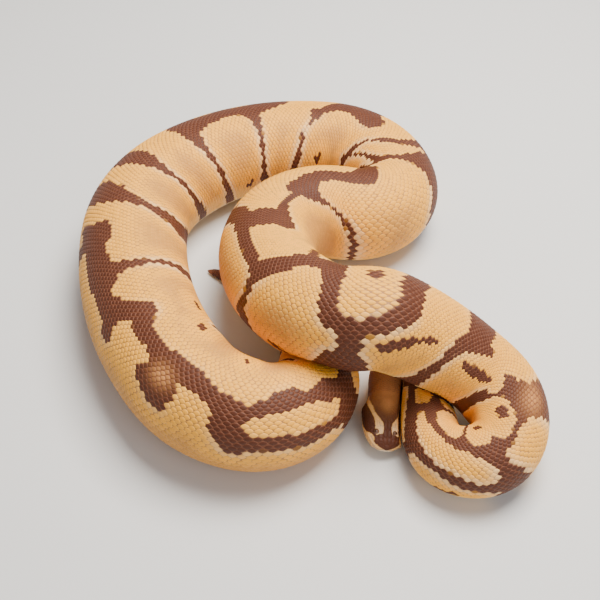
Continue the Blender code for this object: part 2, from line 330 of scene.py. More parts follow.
def read_table(table, s, t):
    """The table at places s and angles t: the mean of its four nearest nodes, each by its nearness."""
    i = np.interp(s, table_s, np.arange(len(table_s)))
    j = (np.asarray(t) % TURN) / TURN * TABLE_SIDES
    i0 = np.clip(i.astype(int), 0, len(table_s) - 2)
    j0 = j.astype(int) % TABLE_SIDES
    j1 = (j0 + 1) % TABLE_SIDES
    fi, fj = i - i0, j - j.astype(int)
    if table.ndim == 3:
        fi, fj = fi[..., None], fj[..., None]
    near = table[i0, j0] * (1 - fj) + table[i0, j1] * fj
    far = table[i0 + 1, j0] * (1 - fj) + table[i0 + 1, j1] * fj
    return near * (1 - fi) + far * fi


def on_skin(s, t, height):
    """A point of the skin at (s, t), moved out along the normal by height."""
    return read_table(table_points, s, t) + read_table(table_normal, s, t) * np.asarray(height)[..., None]

# %% [markdown]
# ## Layout of the head
# A python's head is scaled by region: a few large paired plates on the snout, a row of labial
# plates along each lip with heat pits in the foremost, small scales everywhere else, and a
# ring of them round each eye.  All are placed by two numbers: the distance from the snout, and
# the share of the way round from the crown (0) to the mouth (1) and on to the chin (2).

# %% Measure the mouth line
MOUTH_DEPTH = 0.13 * CM
MOUTH_SAG = 0.11 * CM
JAW_HINGE = 2.75 * CM
HEAD_END = 3.30 * CM
SNOUT_TIP = 0.30 * CM


def mouth_line():
    """Angle at which each ring of the head comes down to the height of the mouth."""
    rings = np.flatnonzero(table_s < HEAD_END + 1 * CM)
    centre, _, _, top = frame_at(table_s[rings])
    height = np.einsum("stk,sk->st", table_points[rings] - centre[:, None, :], top)
    along = np.clip(table_s[rings] / JAW_HINGE, 0, 1)
    wanted = -MOUTH_DEPTH - MOUTH_SAG * np.sin(math.pi * along)
    half = TABLE_SIDES // 2
    angle = np.array([np.interp(-w, -row, table_t[:half]) for w, row in zip(wanted, height[:, :half])])
    angle[table_s[rings] < SNOUT_TIP] = np.interp(SNOUT_TIP, table_s[rings], angle)
    return table_s[rings], angle


mouth_s, mouth_t = mouth_line()
print("mouth at", np.degrees(mouth_t[[0, 40, 80]]).round(), "degrees from the crown")


def head_angle(s, share):
    """Angle at a share of the way from the crown (0) past the mouth (1) to the chin (2)."""
    mouth = np.interp(s, mouth_s, mouth_t)
    size = np.abs(share)
    return np.sign(share) * np.where(size < 1, size * mouth, mouth + (size - 1) * (math.pi - mouth))

# %% [markdown]
# ## How the body is turned
# A resting snake doesn't keep its back straight up: on the big outer ring the back leans
# outwards.  The markings, the rows of scales and the belly all follow that turn, so it is
# set once here.  Places on the skin are also given in centimetres: how far from the snout,
# and how far round from the top, so that a marking keeps its size where the body is thin.

# %% The turn of the back
LEAN_AT = ((0, 0), (25, 0), (33, 8), (45, 0), (56, -14), (70, -16), (85, -26), (100, -34), (108, -20),
           (119, 0))
BELLY_HALF = math.radians(36)
LEAST_GIRTH = 1.12 * CM
LEAST_GIRTH_END = 10 * CM


print("back leans from", min(row[1] for row in LEAN_AT), "to", max(row[1] for row in LEAN_AT), "degrees")


def back_angle(s):
    """Angle of the middle of the back from the top, eased between a few places (cm, degrees)."""
    places, degrees = np.array(LEAN_AT, float).T
    return np.radians(np.interp(s / CM, places, degrees))


def round_cm(s, t):
    """Distance round the body from the top, in cm, left of the top negative."""
    return nearest_turn(t) * np.maximum(radius_at(s), LEAST_GIRTH * (s < LEAST_GIRTH_END)) / CM

# %% [markdown]
# ## Markings
# A ball python is tan with a network of chocolate brown.  The network and the tan blotches are
# painted as a decorator would: broad strokes first, then smaller strokes over them, light
# or dark.  A stroke is a line through a few places with a width at each.  Every scale takes the
# colour at its own middle, which gives the markings their stepped edges.

# %% Strokes of the network
NETWORK = (
    # strokes of brown: places (cm from the snout, cm round from the top, half-width cm)
    # the nape and the small curl
    ((7.6, 0.0, 0.3), (9.3, 0.1, 0.5), (10.78, 0.2, 0.5), (12.22, 0.1, 0.42), (13.46, -0.15, 0.3),
     (14.91, -0.2, 0.25), (15.94, -0.35, 0.3), (16.97, -0.85, 0.35), (17.59, -0.7, 0.4),
     (18.6, -0.75, 0.22), (19.8, -0.6, 0.4), (20.6, -0.4, 0.75)),
    ((8.5, -1.6, 0.5), (9.8, -1.4, 0.5), (11.19, -1.3, 0.4), (12.64, -1.4, 0.55), (13.88, -1.7, 0.55),
     (15.32, -1.95, 0.3), (16.35, -2.7, 0.35), (17.18, -3.1, 0.4)),
    ((10.58, -0.6, 0.5), (10.99, 0.6, 0.5), (11.19, 2.2, 0.6), (11.19, 4.5, 0.7)),
    ((10.99, 0.9, 0.4), (12.22, 0.2, 0.45)),
    ((13.77, -1.7, 0.4), (13.88, -2.6, 0.3), (13.77, -4.2, 0.5)),
    ((17.28, -0.9, 0.3), (17.48, -2.0, 0.28), (17.69, -3.2, 0.45), (17.69, -4.6, 0.6), (17.69, -5.2, 0.6)),
    ((16.04, -0.2, 0.2), (16.04, 0.6, 0.12), (16.04, 1.6, 0.25), (15.83, 3.6, 0.5)),
    ((12.74, 0.3, 0.15), (12.74, 1.2, 0.12), (12.64, 2.6, 0.4), (12.64, 4.0, 0.5)),
    ((17.59, -0.6, 0.2), (17.59, -0.1, 0.1)),
    ((12.5, 0.2, 0.3), (12.62, -0.6, 0.26), (12.62, -1.3, 0.3)),
    ((20.4, -0.6, 0.7), (20.6, -2.0, 0.75), (20.6, -3.4, 0.8), (20.6, -6.5, 1.0)),
    ((20.4, -0.3, 0.5), (21.1, 0.4, 0.5), (21.3, 1.6, 0.4), (22.0, 3.0, 0.82), (22.6, 4.2, 1.0),
     (22.8, 6.4, 1.1)),
    ((20.9, 0.0, 0.5), (21.9, 0.25, 0.2)),
    # the climb and the crossing
    ((24.0, 0.4, 0.3), (25.1, 0.5, 0.75), (25.1, -0.6, 0.9), (25.0, -2.0, 0.95), (24.8, -4.0, 0.8),
     (24.6, -7.0, 0.9)),
    ((25.6, 0.9, 0.5), (26.35, 2.0, 0.32), (26.55, 3.0, 0.25), (26.9, 4.2, 0.42), (27.1, 5.6, 0.8),
     (27.2, 7.4, 0.9)),
    ((31.9, 7.4, 1.2), (31.9, 6.0, 1.1), (31.85, 4.9, 0.85), (31.5, 3.9, 0.35), (31.35, 2.9, 0.5),
     (30.4, 2.35, 0.48), (29.8, 1.7, 0.5), (29.6, 0.6, 0.45), (29.5, -0.4, 0.5), (29.1, -1.3, 0.55),
     (28.8, -2.6, 0.7), (28.8, -6.8, 0.9)),
    ((31.4, 2.8, 0.45), (32.1, 2.3, 0.5), (32.4, 1.3, 0.42), (32.4, 0.3, 0.5), (32.6, -0.7, 0.85),
     (33.0, -1.7, 1.0), (33.4, -3.4, 0.9), (33.4, -7.0, 1.0)),
    ((36.9, 7.2, 0.9), (36.9, 6.0, 0.65), (36.8, 5.0, 0.5), (36.6, 4.1, 0.28), (36.4, 3.2, 0.2),
     (36.3, 2.2, 0.4), (35.95, 1.2, 0.6), (35.4, 0.35, 0.58), (35.0, -0.4, 0.58), (34.3, -1.1, 0.7),
     (33.4, -1.6, 0.95)),
    ((36.3, 1.9, 0.5), (37.4, 1.65, 0.42), (38.6, 1.5, 0.4), (39.6, 1.5, 0.45), (40.6, 1.45, 0.5),
     (41.4, 1.5, 0.62), (42.4, 2.0, 0.7), (43.2, 3.0, 0.72), (43.6, 4.2, 0.62), (43.7, 7.2, 0.8)),
    ((41.1, 1.2, 0.9), (41.1, 0.1, 1.1), (40.4, -1.0, 0.95), (41.4, -1.0, 0.62), (42.4, -0.95, 0.42),
     (43.4, -0.95, 0.22), (44.6, -0.9, 0.18), (45.3, -0.85, 0.25), (46.0, -0.6, 0.75), (46.7, -0.75, 1.0),
     (47.5, -0.1, 0.62), (48.4, 0.08, 0.58), (49.5, 0.05, 0.45), (50.4, 0.2, 0.65), (51.5, 0.5, 1.15),
     (52.1, 1.1, 1.2), (52.4, 2.4, 1.1), (52.6, 4.5, 0.8), (52.6, 7.2, 0.8)),
    ((46.8, -1.5, 0.35), (47.4, -1.9, 0.28), (48.2, -2.2, 0.13), (49.0, -2.6, 0.13), (49.8, -2.95, 0.16),
     (50.25, -3.35, 0.18), (50.6, -4.0, 0.18), (50.72, -5.0, 0.17), (50.75, -6.2, 0.17),
     (50.7, -7.4, 0.2)),
    # the far turn
    ((54.2, 1.9, 0.25), (55.1, 1.45, 0.45), (55.35, 0.8, 0.4), (55.25, 0.1, 0.28), (55.35, -0.8, 0.45),
     (55.6, -1.9, 0.75), (55.7, -3.0, 1.1), (55.2, -4.4, 1.2), (54.6, -6.6, 1.0)),
    ((55.5, 1.4, 0.4), (56.4, 1.85, 0.25), (57.3, 2.15, 0.14), (58.3, 2.5, 0.11), (59.3, 3.0, 0.14),
     (60.3, 3.45, 0.2)),
    ((57.6, -4.0, 0.7), (57.3, -2.6, 0.42), (57.0, -1.7, 0.32), (56.9, -0.9, 0.28), (57.2, 0.0, 0.24),
     (57.6, 0.5, 0.19), (58.1, 1.0, 0.12), (58.8, 1.6, 0.12), (59.2, 2.2, 0.17), (59.6, 2.9, 0.24),
     (59.95, 3.4, 0.28), (60.2, 5.0, 0.5), (60.2, 7.0, 0.7)),
    ((53.6, 2.3, 0.3), (55.2, 2.5, 0.2), (56.6, 3.0, 0.2)),
    # the far leg and arc
    ((59.9, -0.25, 0.92), (61.0, -0.95, 0.95), (62.0, -0.95, 0.85), (63.1, -0.1, 0.32),
     (63.9, 0.35, 0.42)),
    ((61.0, -1.4, 1.2), (61.0, -3.5, 0.8), (61.0, -7.0, 0.9)),
    ((63.9, 0.5, 0.35), (64.2, 1.0, 0.13), (64.6, 1.5, 0.1), (65.0, 2.1, 0.12), (65.25, 2.8, 0.2),
     (65.55, 3.6, 0.28), (65.8, 4.3, 0.34), (65.9, 7.4, 0.6)),
    ((66.2, -1.4, 0.55), (67.2, -1.05, 0.8), (68.4, -0.7, 0.9), (70.0, -1.15, 0.9), (72.0, -0.9, 0.95),
     (73.2, -0.5, 0.92), (73.3, -1.6, 0.85)),
    ((68.5, 0.2, 0.5), (68.45, 1.2, 0.27), (68.5, 2.2, 0.2), (68.6, 3.2, 0.19), (68.7, 4.6, 0.25),
     (68.8, 7.4, 0.6)),
    ((67.4, -1.6, 0.9), (67.0, -4.0, 0.7), (66.8, -7.5, 0.9)),
    ((73.4, 0.4, 0.62), (73.5, 1.4, 0.32), (73.35, 2.2, 0.22), (73.1, 3.2, 0.19), (72.8, 4.4, 0.26),
     (72.45, 5.5, 0.42), (72.2, 6.6, 0.45), (71.8, 7.9, 0.4)),
    ((72.8, -1.8, 0.9), (72.6, -4.0, 0.7), (72.4, -7.5, 0.9)),
    ((74.6, 8.0, 0.3), (75.4, 6.9, 0.5), (76.3, 5.6, 0.52), (76.9, 4.6, 0.36), (77.2, 3.6, 0.26),
     (77.4, 2.5, 0.2), (77.6, 1.6, 0.25), (77.5, 0.5, 0.52), (77.4, -0.6, 0.74), (77.4, -1.8, 0.75),
     (77.4, -4.0, 0.6), (77.4, -8.0, 0.8)),
    # the left side
    ((93.9, -2.75, 0.38), (94.7, -3.05, 0.5), (95.2, -3.2, 0.45)),
    ((79.4, 7.2, 0.4), (80.8, 6.0, 0.6), (81.9, 5.1, 0.74), (82.4, 4.0, 0.75), (82.4, 3.0, 0.55),
     (82.15, 2.0, 0.35), (81.9, 1.0, 0.25), (81.5, 0.1, 0.42), (80.9, -0.9, 0.72), (80.4, -2.0, 0.85),
     (80.0, -3.2, 0.8), (79.8, -5.0, 0.7), (79.8, -8.2, 0.8)),
    ((82.6, -3.5, 0.35), (83.6, -2.7, 0.85), (84.1, -2.2, 1.25), (85.2, -2.4, 0.85), (86.5, -2.3, 0.98),
     (87.4, -2.1, 1.15), (88.5, -2.5, 0.62), (89.6, -2.4, 0.85), (90.2, -2.3, 0.9), (90.5, -3.2, 0.6)),
    ((84.0, -3.4, 0.45), (83.6, -5.6, 0.6), (83.6, -8.2, 0.8)),
    ((87.3, -0.8, 0.45), (87.35, 0.4, 0.26), (87.35, 1.4, 0.2), (87.3, 2.6, 0.28), (87.25, 3.8, 0.4),
     (86.9, 5.2, 0.6), (86.8, 7.8, 0.8)),
    ((90.0, -1.8, 0.6), (90.9, -0.9, 0.72), (91.25, -0.35, 0.62), (91.9, -1.1, 0.55), (93.0, -1.1, 0.5),
     (94.2, -1.15, 0.52), (95.1, -1.1, 0.7), (96.2, -1.05, 0.6), (97.3, -1.5, 0.5), (98.0, -2.0, 0.72),
     (98.3, -3.0, 0.72), (98.5, -4.0, 0.42)),
    ((94.5, -1.5, 0.8), (94.9, -2.4, 1.0), (95.1, -3.3, 0.5)),
    ((98.0, -2.0, 0.75), (99.0, -1.95, 0.4), (100.4, -1.3, 0.75), (101.3, -1.6, 0.5), (102.0, -1.6, 0.65),
     (102.9, -2.5, 0.62), (102.8, -3.3, 0.65), (101.6, -3.5, 0.42), (100.5, -3.65, 0.47),
     (99.4, -3.6, 0.42), (98.6, -3.7, 0.55)),
    ((102.6, -3.3, 0.7), (103.3, -5.0, 0.7), (103.4, -8.0, 0.9)),
    ((102.8, -2.3, 0.6), (104.4, -1.7, 0.5), (106.0, -1.6, 0.7), (107.4, -1.2, 0.45), (109.0, -0.9, 0.6),
     (110.5, -0.6, 0.45), (112.0, -0.4, 0.7), (114.0, -0.2, 0.5), (116.0, -0.1, 0.45), (119.0, 0.0, 0.6)),
    # bars of the last coil and the tail
    ((102.9, 1.4, 0.25), (103.4, 3.6, 0.5), (103.4, 7.0, 0.8)),
    ((93.0, 3.8, 0.4), (93.0, 7.8, 0.8)),
    ((98.0, 3.8, 0.4), (98.2, 7.4, 0.8)),
    ((106.0, -1.4, 0.6), (106.2, 0.6, 0.3), (106.3, 2.6, 0.5), (106.4, 6.0, 0.7)),
    ((107.4, -1.4, 0.4), (107.6, -3.0, 0.3), (107.7, -6.0, 0.6)),
    ((109.2, -0.8, 0.5), (109.3, 1.2, 0.3), (109.4, 4.5, 0.6)),
    ((110.8, -0.6, 0.4), (111.0, -2.2, 0.3), (111.0, -4.5, 0.5)),
    ((112.2, -0.2, 0.5), (112.4, 1.4, 0.3), (112.4, 3.5, 0.4)),
    ((114.2, -0.4, 0.4), (114.4, -1.6, 0.25), (114.4, -3.0, 0.3)),
    ((116.6, -2.0, 0.9), (116.6, 2.0, 0.9)),
    ((117.6, -2.0, 1.2), (117.6, 2.0, 1.2)),
)

# %% [markdown]
# Inside the broad brown areas lie light blotches.  They are strokes too, taken out of the brown
# again, as a decorator would paint them over it.

# %% Windows in the network
WINDOWS = (
    # light blotches left open in the brown
    ((11.71, -0.3, 0.45), (12.02, -0.35, 0.3)),
    ((12.02, 1.0, 0.42), (12.22, 2.0, 0.5)),
    ((13.26, 0.8, 0.35), (14.29, 0.65, 0.5), (15.32, 0.45, 0.5), (15.42, 0.8, 0.42)),
    ((16.66, 0.1, 0.4), (17.07, -0.1, 0.36)),
    ((18.2, 0.0, 0.55), (19.0, 0.4, 0.8), (20.0, 1.2, 0.9), (20.1, 2.4, 0.85)),
    ((13.26, -0.70, 0.2), (14.08, -0.82, 0.44), (15.05, -1.03, 0.62), (16.04, -1.4, 0.68),
     (16.71, -2.0, 0.48), (16.92, -2.5, 0.25)),
    ((18.3, -1.6, 0.58), (18.95, -1.6, 0.8), (19.1, -2.0, 0.65), (18.75, -2.6, 0.55)),
    ((11.1, -1.95, 0.6), (12.33, -2.2, 0.5), (13.3, -2.6, 0.4)),
    ((22.6, 0.3, 0.55), (22.3, -1.0, 0.9), (23.1, -1.0, 1.05), (23.0, -2.4, 1.0)),
    ((21.6, 1.1, 0.45), (23.0, 1.3, 0.8), (24.4, 2.0, 0.95), (25.2, 2.9, 1.05), (24.9, 4.2, 1.2),
     (25.0, 5.5, 1.0)),
    ((31.25, 1.5, 0.72), (31.0, 0.7, 0.8), (30.9, -0.2, 0.85), (31.0, -1.6, 0.95), (31.0, -4.0, 1.2)),
    ((36.6, -0.4, 0.95), (37.6, -0.1, 1.1), (38.8, -0.1, 1.1), (39.0, 0.1, 0.9), (38.4, -1.2, 1.0),
     (39.2, -3.2, 1.2)),
    ((38.3, 3.4, 1.4), (39.6, 3.6, 1.6), (40.4, 3.6, 1.5)),
    ((48.4, -1.2, 0.75), (49.6, -1.3, 0.95), (51.2, -2.0, 1.15), (52.6, -1.5, 1.3), (53.6, -0.4, 1.25),
     (53.6, 0.2, 0.9)),
    ((91.3, -2.4, 0.58), (92.3, -2.4, 0.66), (93.1, -2.2, 0.62)),
    ((96.5, -2.3, 0.55), (96.9, -2.5, 0.62), (96.7, -3.3, 0.7)),
    ((99.35, -2.6, 0.5), (100.2, -2.5, 0.66), (101.2, -2.45, 0.7), (101.9, -2.75, 0.5)),
    ((105.0, -3.2, 0.8), (105.4, -4.4, 0.9)),
)

# %% [markdown]
# The head has a dark crown and a band through each eye, the same on both sides.  Small brown
# spots lie in the light blotches, and orange shows through the brown in a few soft patches.

# %% Marks of the head, spots and blushes
HEAD_BROWN = (
    # the same on both sides of the head and neck
    ((0.25, 0.0, 0.32), (0.25, 1.12, 0.30)),
    ((0.52, 0.0, 0.36), (0.50, 0.82, 0.30)),
    ((0.62, 1.16, 0.08), (0.95, 1.22, 0.10)),
    ((0.85, 0.0, 0.5), (1.2, 0.0, 0.38), (1.55, 0.0, 0.45), (1.85, 0.0, 0.58), (2.1, 0.0, 0.74),
     (2.4, 0.0, 0.92), (2.9, 0.0, 1.05), (3.5, 0.0, 1.3), (4.4, 0.0, 1.75), (5.6, 0.0, 1.5),
     (7.0, 0.0, 1.6), (8.4, 0.0, 1.2)),
    ((1.0, 1.24, 0.12), (1.3, 1.16, 0.18), (1.6, 1.14, 0.20), (2.0, 1.26, 0.22), (2.5, 1.40, 0.20),
     (2.9, 1.58, 0.22), (3.3, 1.80, 0.4), (4.2, 2.1, 0.6)),
    ((1.16, 1.40, 0.20), (1.6, 1.50, 0.26), (2.1, 1.56, 0.28), (2.7, 1.72, 0.32), (3.3, 2.0, 0.5)),
)
SPOTS = (
    # small brown marks inside the light blotches
    ((16.87, 0.95, 0.16), (17.38, 0.85, 0.14)),
    ((19.4, 0.38, 0.26), (19.85, 0.7, 0.32)),
    ((22.4, 1.32, 0.12), (23.2, 1.65, 0.3), (24.4, 1.98, 0.3), (25.15, 2.1, 0.18)),
    ((27.75, 2.2, 0.2), (28.6, 2.55, 0.12), (29.4, 3.15, 0.26), (30.3, 3.75, 0.3)),
    ((30.65, -0.55, 0.2), (30.65, -0.95, 0.24)),
    ((35.1, -1.5, 0.28), (35.9, -2.1, 0.36), (36.5, -2.6, 0.3)),
    ((63.45, 3.6, 0.2), (63.8, 3.95, 0.28)),
    ((69.9, 5.35, 0.2), (70.3, 5.45, 0.2)),
    ((93.35, 2.2, 0.22), (93.8, 1.95, 0.24)),
    ((98.2, 1.7, 0.2), (98.15, 1.5, 0.16)),
    ((90.8, 3.25, 0.2), (91.3, 3.15, 0.2)),
    ((15.32, -3.9, 0.2), (15.94, -3.8, 0.25)),
    ((34.2, 5.9, 0.3), (34.8, 5.7, 0.2)),
    ((23.9, 5.1, 0.25), (24.8, 5.0, 0.2)),
)
BLUSHES = (
    # orange showing through the brown: place, size, strength
    (20.5, -1.1, 0.7, 0.75), (94.9, -2.0, 0.6, 0.8), (2.65, 0.0, 0.62, 1.0), (3.4, 0.0, 1.2, 0.85),
    (4.4, 0.0, 1.4, 0.7), (6.5, 0.0, 1.1, 0.5),
)
BROW = (0.98, 0.70, 0.34)  # place and size of the pale patch over each eye, cm

# %% [markdown]
# Where two strokes meet, the corner is filled a little, like the web between two toes.  Along its
# edge the brown has a pale fringe, which is strongest on the flanks.

# %% How strokes join and fade
WEB = 0.35
WINDOW_WEB = 0.2
SPOT_WEB = 0.1
HEAD_WEB = 0.15
FRINGE_WIDTH = 0.26
FRINGE_FROM = 8
FRINGE_BACK = 0.0825
FRINGE_FLANK = 0.55
# Painted shade: how far from the brown the ochre shade painted on the flanks grows to full.
FLANK_SHADE_FADE = (0.3, 1.5)
MARK_EDGE = 0.02
PALE_HEAD = 0.4
PALE_HEAD_END = 4
OUTSIDE = -9.0
STROKE_REACH = 3.0
print(len(NETWORK), "strokes,", len(WINDOWS), "windows,", len(SPOTS), "spots")

# %% [markdown]
# A place is brown when it lies inside a stroke, so each stroke gives a depth: its half-width less
# the distance to its line.  The strokes are joined with rounded corners, as the real markings are.
# An image wrapped round the body would be another way, but it would blur and stretch.

# %% Depth inside the strokes
def stroke_depth(x, y, points):
    """How far inside one stroke each place is: width less distance, the largest over its pieces."""
    depth = np.full(x.shape, OUTSIDE)
    places = [place[0] for place in points]
    near = (x > min(places) - STROKE_REACH) & (x < max(places) + STROKE_REACH)
    if not near.any():
        return depth
    px, py = x[near], y[near]
    best = np.full(px.shape, OUTSIDE)
    for (x0, y0, w0), (x1, y1, w1) in zip(points, points[1:]):
        dx, dy = x1 - x0, y1 - y0
        along = np.clip(((px - x0) * dx + (py - y0) * dy) / (dx * dx + dy * dy), 0, 1)
        distance = np.hypot(px - x0 - along * dx, py - y0 - along * dy)
        best = np.maximum(best, w0 + (w1 - w0) * along - distance)
    depth[near] = best
    return depth


def soft_union(x, y, strokes, k):
    """Depth inside a set of strokes, with the corners between them filled like webbing."""
    total = np.full(x.shape, OUTSIDE)
    for points in strokes:
        total = -soft_min(-total, -stroke_depth(x, y, points), k)
    return total


def mound(x, y, cx, cy, size):
    """A round bump: 1 at its middle, falling off as a bell curve of this size."""
    return np.exp(-((x - cx) ** 2 + (y - cy) ** 2) / size ** 2)


def markings(x, y, flank):
    """Stored numbers at x cm from the snout and y cm round from the top; flank is 0 on the back."""
    window = soft_union(x, y, WINDOWS, WINDOW_WEB)
    network = np.minimum(soft_union(x, y, NETWORK, WEB), -window)
    brown = np.maximum(network, soft_union(x, y, SPOTS, SPOT_WEB))
    brown = np.maximum(brown, soft_union(x, np.abs(y), HEAD_BROWN, HEAD_WEB))
    blush = np.max([strength * mound(x, y, cx, cy, size) for cx, cy, size, strength in BLUSHES], axis=0)
    rim = np.exp(-(network / FRINGE_WIDTH) ** 2) * (x > FRINGE_FROM)
    rim *= FRINGE_BACK + (FRINGE_FLANK - FRINGE_BACK) * flank
    pale_head = PALE_HEAD * (x < PALE_HEAD_END) + PALE_HEAD * mound(x, np.abs(y), *BROW)
    # The last number is painted shade: ochre laid over the tan down the flanks, most where the brown is
    # far.
    return {"dark": np.clip(0.5 + brown / MARK_EDGE, 0, 1), "blush": blush,
            "fringe": np.maximum(rim, pale_head) * (brown < 0),
            "painted_flank_shade": flank * fade(-brown, *FLANK_SHADE_FADE)}

# %% [markdown]
# ## Materials by expression
# Nodes are easier to read as sums.  The class below wraps a socket so that + - and * add a
# Math node, also with a plain number first, and one function makes any other node from its
# type, settings and inputs.

# %% A small language for nodes
class Value:
    """A node's output used as a number; each operator adds one Math node."""

    def __init__(self, tree, socket):
        self.tree = tree
        self.socket = socket

    def _math(self, operation, first, second):
        made = node(self.tree, "ShaderNodeMath", {"operation": operation}, {0: first, 1: second})
        return Value(self.tree, made.outputs[0])

    def __add__(self, other):
        return self._math("ADD", self, other)

    def __radd__(self, other):
        return self._math("ADD", other, self)

    def __sub__(self, other):
        return self._math("SUBTRACT", self, other)

    def __rsub__(self, other):
        return self._math("SUBTRACT", other, self)

    def __mul__(self, other):
        return self._math("MULTIPLY", self, other)

    def __rmul__(self, other):
        return self._math("MULTIPLY", other, self)


def node(tree, kind, settings=None, inputs=None):
    """Adds a node: settings are set first, then each input gets a number, a colour or a link."""
    made = tree.nodes.new(kind)
    for name, value in (settings or {}).items():
        setattr(made, name, value)
    for key, value in (inputs or {}).items():
        if isinstance(value, Value):
            tree.links.new(value.socket, made.inputs[key])
        elif isinstance(value, bpy.types.NodeSocket):
            tree.links.new(value, made.inputs[key])
        else:
            made.inputs[key].default_value = value
    return made

# %% [markdown]
# A few nodes come up again and again: a number stored on the mesh, soft noise, a smooth ramp, and
# a mix of two colours.  Each gets a short function, so that a finish below reads as a recipe.

# %% Nodes that finishes share
def reading(tree, name):
    """A number stored on the mesh."""
    return Value(tree, node(tree, "ShaderNodeAttribute", {"attribute_name": name}).outputs["Fac"])


def clouds(tree, scale, detail=3.0, roughness=0.5):
    """Soft noise from 0 to 1 in the object's own space."""
    place = node(tree, "ShaderNodeTexCoord").outputs["Object"]
    inputs = {"Vector": place, "Scale": scale, "Detail": detail, "Roughness": roughness}
    return Value(tree, node(tree, "ShaderNodeTexNoise", {}, inputs).outputs["Fac"])


def ramp(tree, factor, low, high):
    """Runs from 0 at low to 1 at high, smoothly, and stays there."""
    settings = {"interpolation_type": "SMOOTHSTEP"}
    inputs = {"Value": factor, "From Min": low, "From Max": high}
    return Value(tree, node(tree, "ShaderNodeMapRange", settings, inputs).outputs["Result"])


MIX_FACTOR = 0
MIX_FIRST = 6
MIX_SECOND = 7
MIX_COLOUR = 2


def blend(tree, factor, first, second):
    """Mixes two colours; a Mix node's sockets are numbered, as several share one name."""
    first, second = ((*value, 1.0) if isinstance(value, tuple) else value for value in (first, second))
    inputs = {MIX_FACTOR: factor, MIX_FIRST: first, MIX_SECOND: second}
    return node(tree, "ShaderNodeMix", {"data_type": "RGBA"}, inputs).outputs[MIX_COLOUR]


def new_material(name, **constants):
    """An empty Principled material with the given constant sockets; returns it, its tree and shader."""
    made = bpy.data.materials.new(name)
    made.use_nodes = True
    shader = made.node_tree.nodes["Principled BSDF"]
    for key, value in constants.items():
        shader.inputs[key.replace("_", " ")].default_value = value
    return made, made.node_tree, shader


def wire(tree, shader, **links):
    """Links values to the shader's sockets."""
    for key, value in links.items():
        socket = value.socket if isinstance(value, Value) else value
        tree.links.new(socket, shader.inputs[key.replace("_", " ")])

# %% [markdown]
# ## The colours of skin and scale
# Scales are tan, or brown on the network, paler towards their edges.  The skin between them is
# pinkish.  Both read the same stored numbers: how dark the marking is, a tone that differs
# from scale to scale, the orange blush, the pale fringe, the belly's cream, and a painted
# shade that turns the tan ochre down the flanks.

# %% Skin and scale finishes
TAN = (0.94, 0.42, 0.032)
CREAM = (0.95, 0.54, 0.12)
# Painted shade: the ochre that darkens the tan down the flanks.
SHADE_OCHRE = (0.56, 0.25, 0.055)
BROWN = (0.088, 0.024, 0.010)
BROWN_EDGE = (0.21, 0.075, 0.037)
BLUSH = (0.64, 0.27, 0.080)
FRINGE = (0.92, 0.66, 0.38)
BELLY = (0.86, 0.70, 0.50)
PINK = (0.44, 0.20, 0.065)
FRECKLE = 900.0
GRAIN_HEIGHT = 0.1 * MM
PATCHES = 38.0
PATCH_SHARE = (0.6, 0.4)  # how far the patches push the ochre and the cream
# Painted shade: the ramp and the greatest share of the ochre shade on the flanks.
SHADE_OCHRE_RAMP = (0.1, 1.1)
MOST_SHADE_OCHRE = 0.85
CREAM_FADE = (0.2, 0.9)
TAN_RIM = (0.62, 1.0)
MOST_TAN_RIM = 0.35
BROWN_RIM = (0.72, 1.0)
TONE_SPAN = (0.94, 0.12)


def marked_colour(tree, light, dark, tan_edge, brown_edge):
    """Tan with painted ochre shade down the flanks, or brown by the marking, then cream, blush, fringe and
    belly laid over in turn.
    """
    patches = clouds(tree, PATCHES) - 0.5
    rim = reading(tree, "rim")
    # Painted shade: the tan turns ochre down the flanks.
    flank_shading = ramp(tree, reading(tree, "painted_flank_shade") + PATCH_SHARE[0] * patches, *SHADE_OCHRE_RAMP)
    pale = ramp(tree, reading(tree, "pale") + PATCH_SHARE[1] * patches, *CREAM_FADE)
    tan = blend(tree, pale, blend(tree, flank_shading * MOST_SHADE_OCHRE, light, SHADE_OCHRE), CREAM)
    tan = blend(tree, ramp(tree, rim, *TAN_RIM) * MOST_TAN_RIM, tan, tan_edge)
    brown = blend(tree, reading(tree, "blush"), dark, BLUSH)
    brown = blend(tree, ramp(tree, rim, *BROWN_RIM), brown, brown_edge)
    colour = blend(tree, reading(tree, "dark"), tan, brown)
    colour = blend(tree, reading(tree, "fringe"), colour, FRINGE)
    colour = blend(tree, reading(tree, "belly"), colour, BELLY)
    tone = TONE_SPAN[0] + TONE_SPAN[1] * reading(tree, "tone")
    inputs = {"Hue": 0.5, "Saturation": 1.0, "Value": tone, "Color": colour}
    return node(tree, "ShaderNodeHueSaturation", {}, inputs).outputs["Color"]


def marked_material(name, specular, detail, bump_strength, roughness, colours):
    """A dry satin finish: constant sheen, a fine grain in the roughness and the bump, marked colour."""
    made, tree, shader = new_material(name, Specular_IOR_Level=specular)
    grain = clouds(tree, FRECKLE, detail)
    inputs = {"Strength": bump_strength, "Distance": GRAIN_HEIGHT, "Height": grain}
    bump = node(tree, "ShaderNodeBump", {}, inputs)
    wire(tree, shader, Base_Color=marked_colour(tree, *colours),
         Roughness=roughness[0] + roughness[1] * grain, Normal=bump.outputs["Normal"])
    return made


SCALE_MATERIAL = marked_material("scale_skin", 0.24, 2.0, 0.12, (0.44, 0.12),
                                 (TAN, BROWN, CREAM, BROWN_EDGE))
SKIN_MATERIAL = marked_material("bare_skin", 0.25, 3.0, 0.2, (0.62, 0.1),
                                (PINK, BROWN, PINK, BROWN_EDGE))
print("finishes made:", SCALE_MATERIAL.name, SKIN_MATERIAL.name)

# %% [markdown]
# ## From arrays to meshes
# Every piece here is a set of points, a set of triangles that join them, and a few numbers
# stored at each point.  They go into the mesh as whole arrays, which is far quicker than adding
# them one by one.

# %% Make a mesh
def add_object(name, data):
    """An object of this data, linked into the scene."""
    made = bpy.data.objects.new(name, data)
    bpy.context.scene.collection.objects.link(made)
    return made


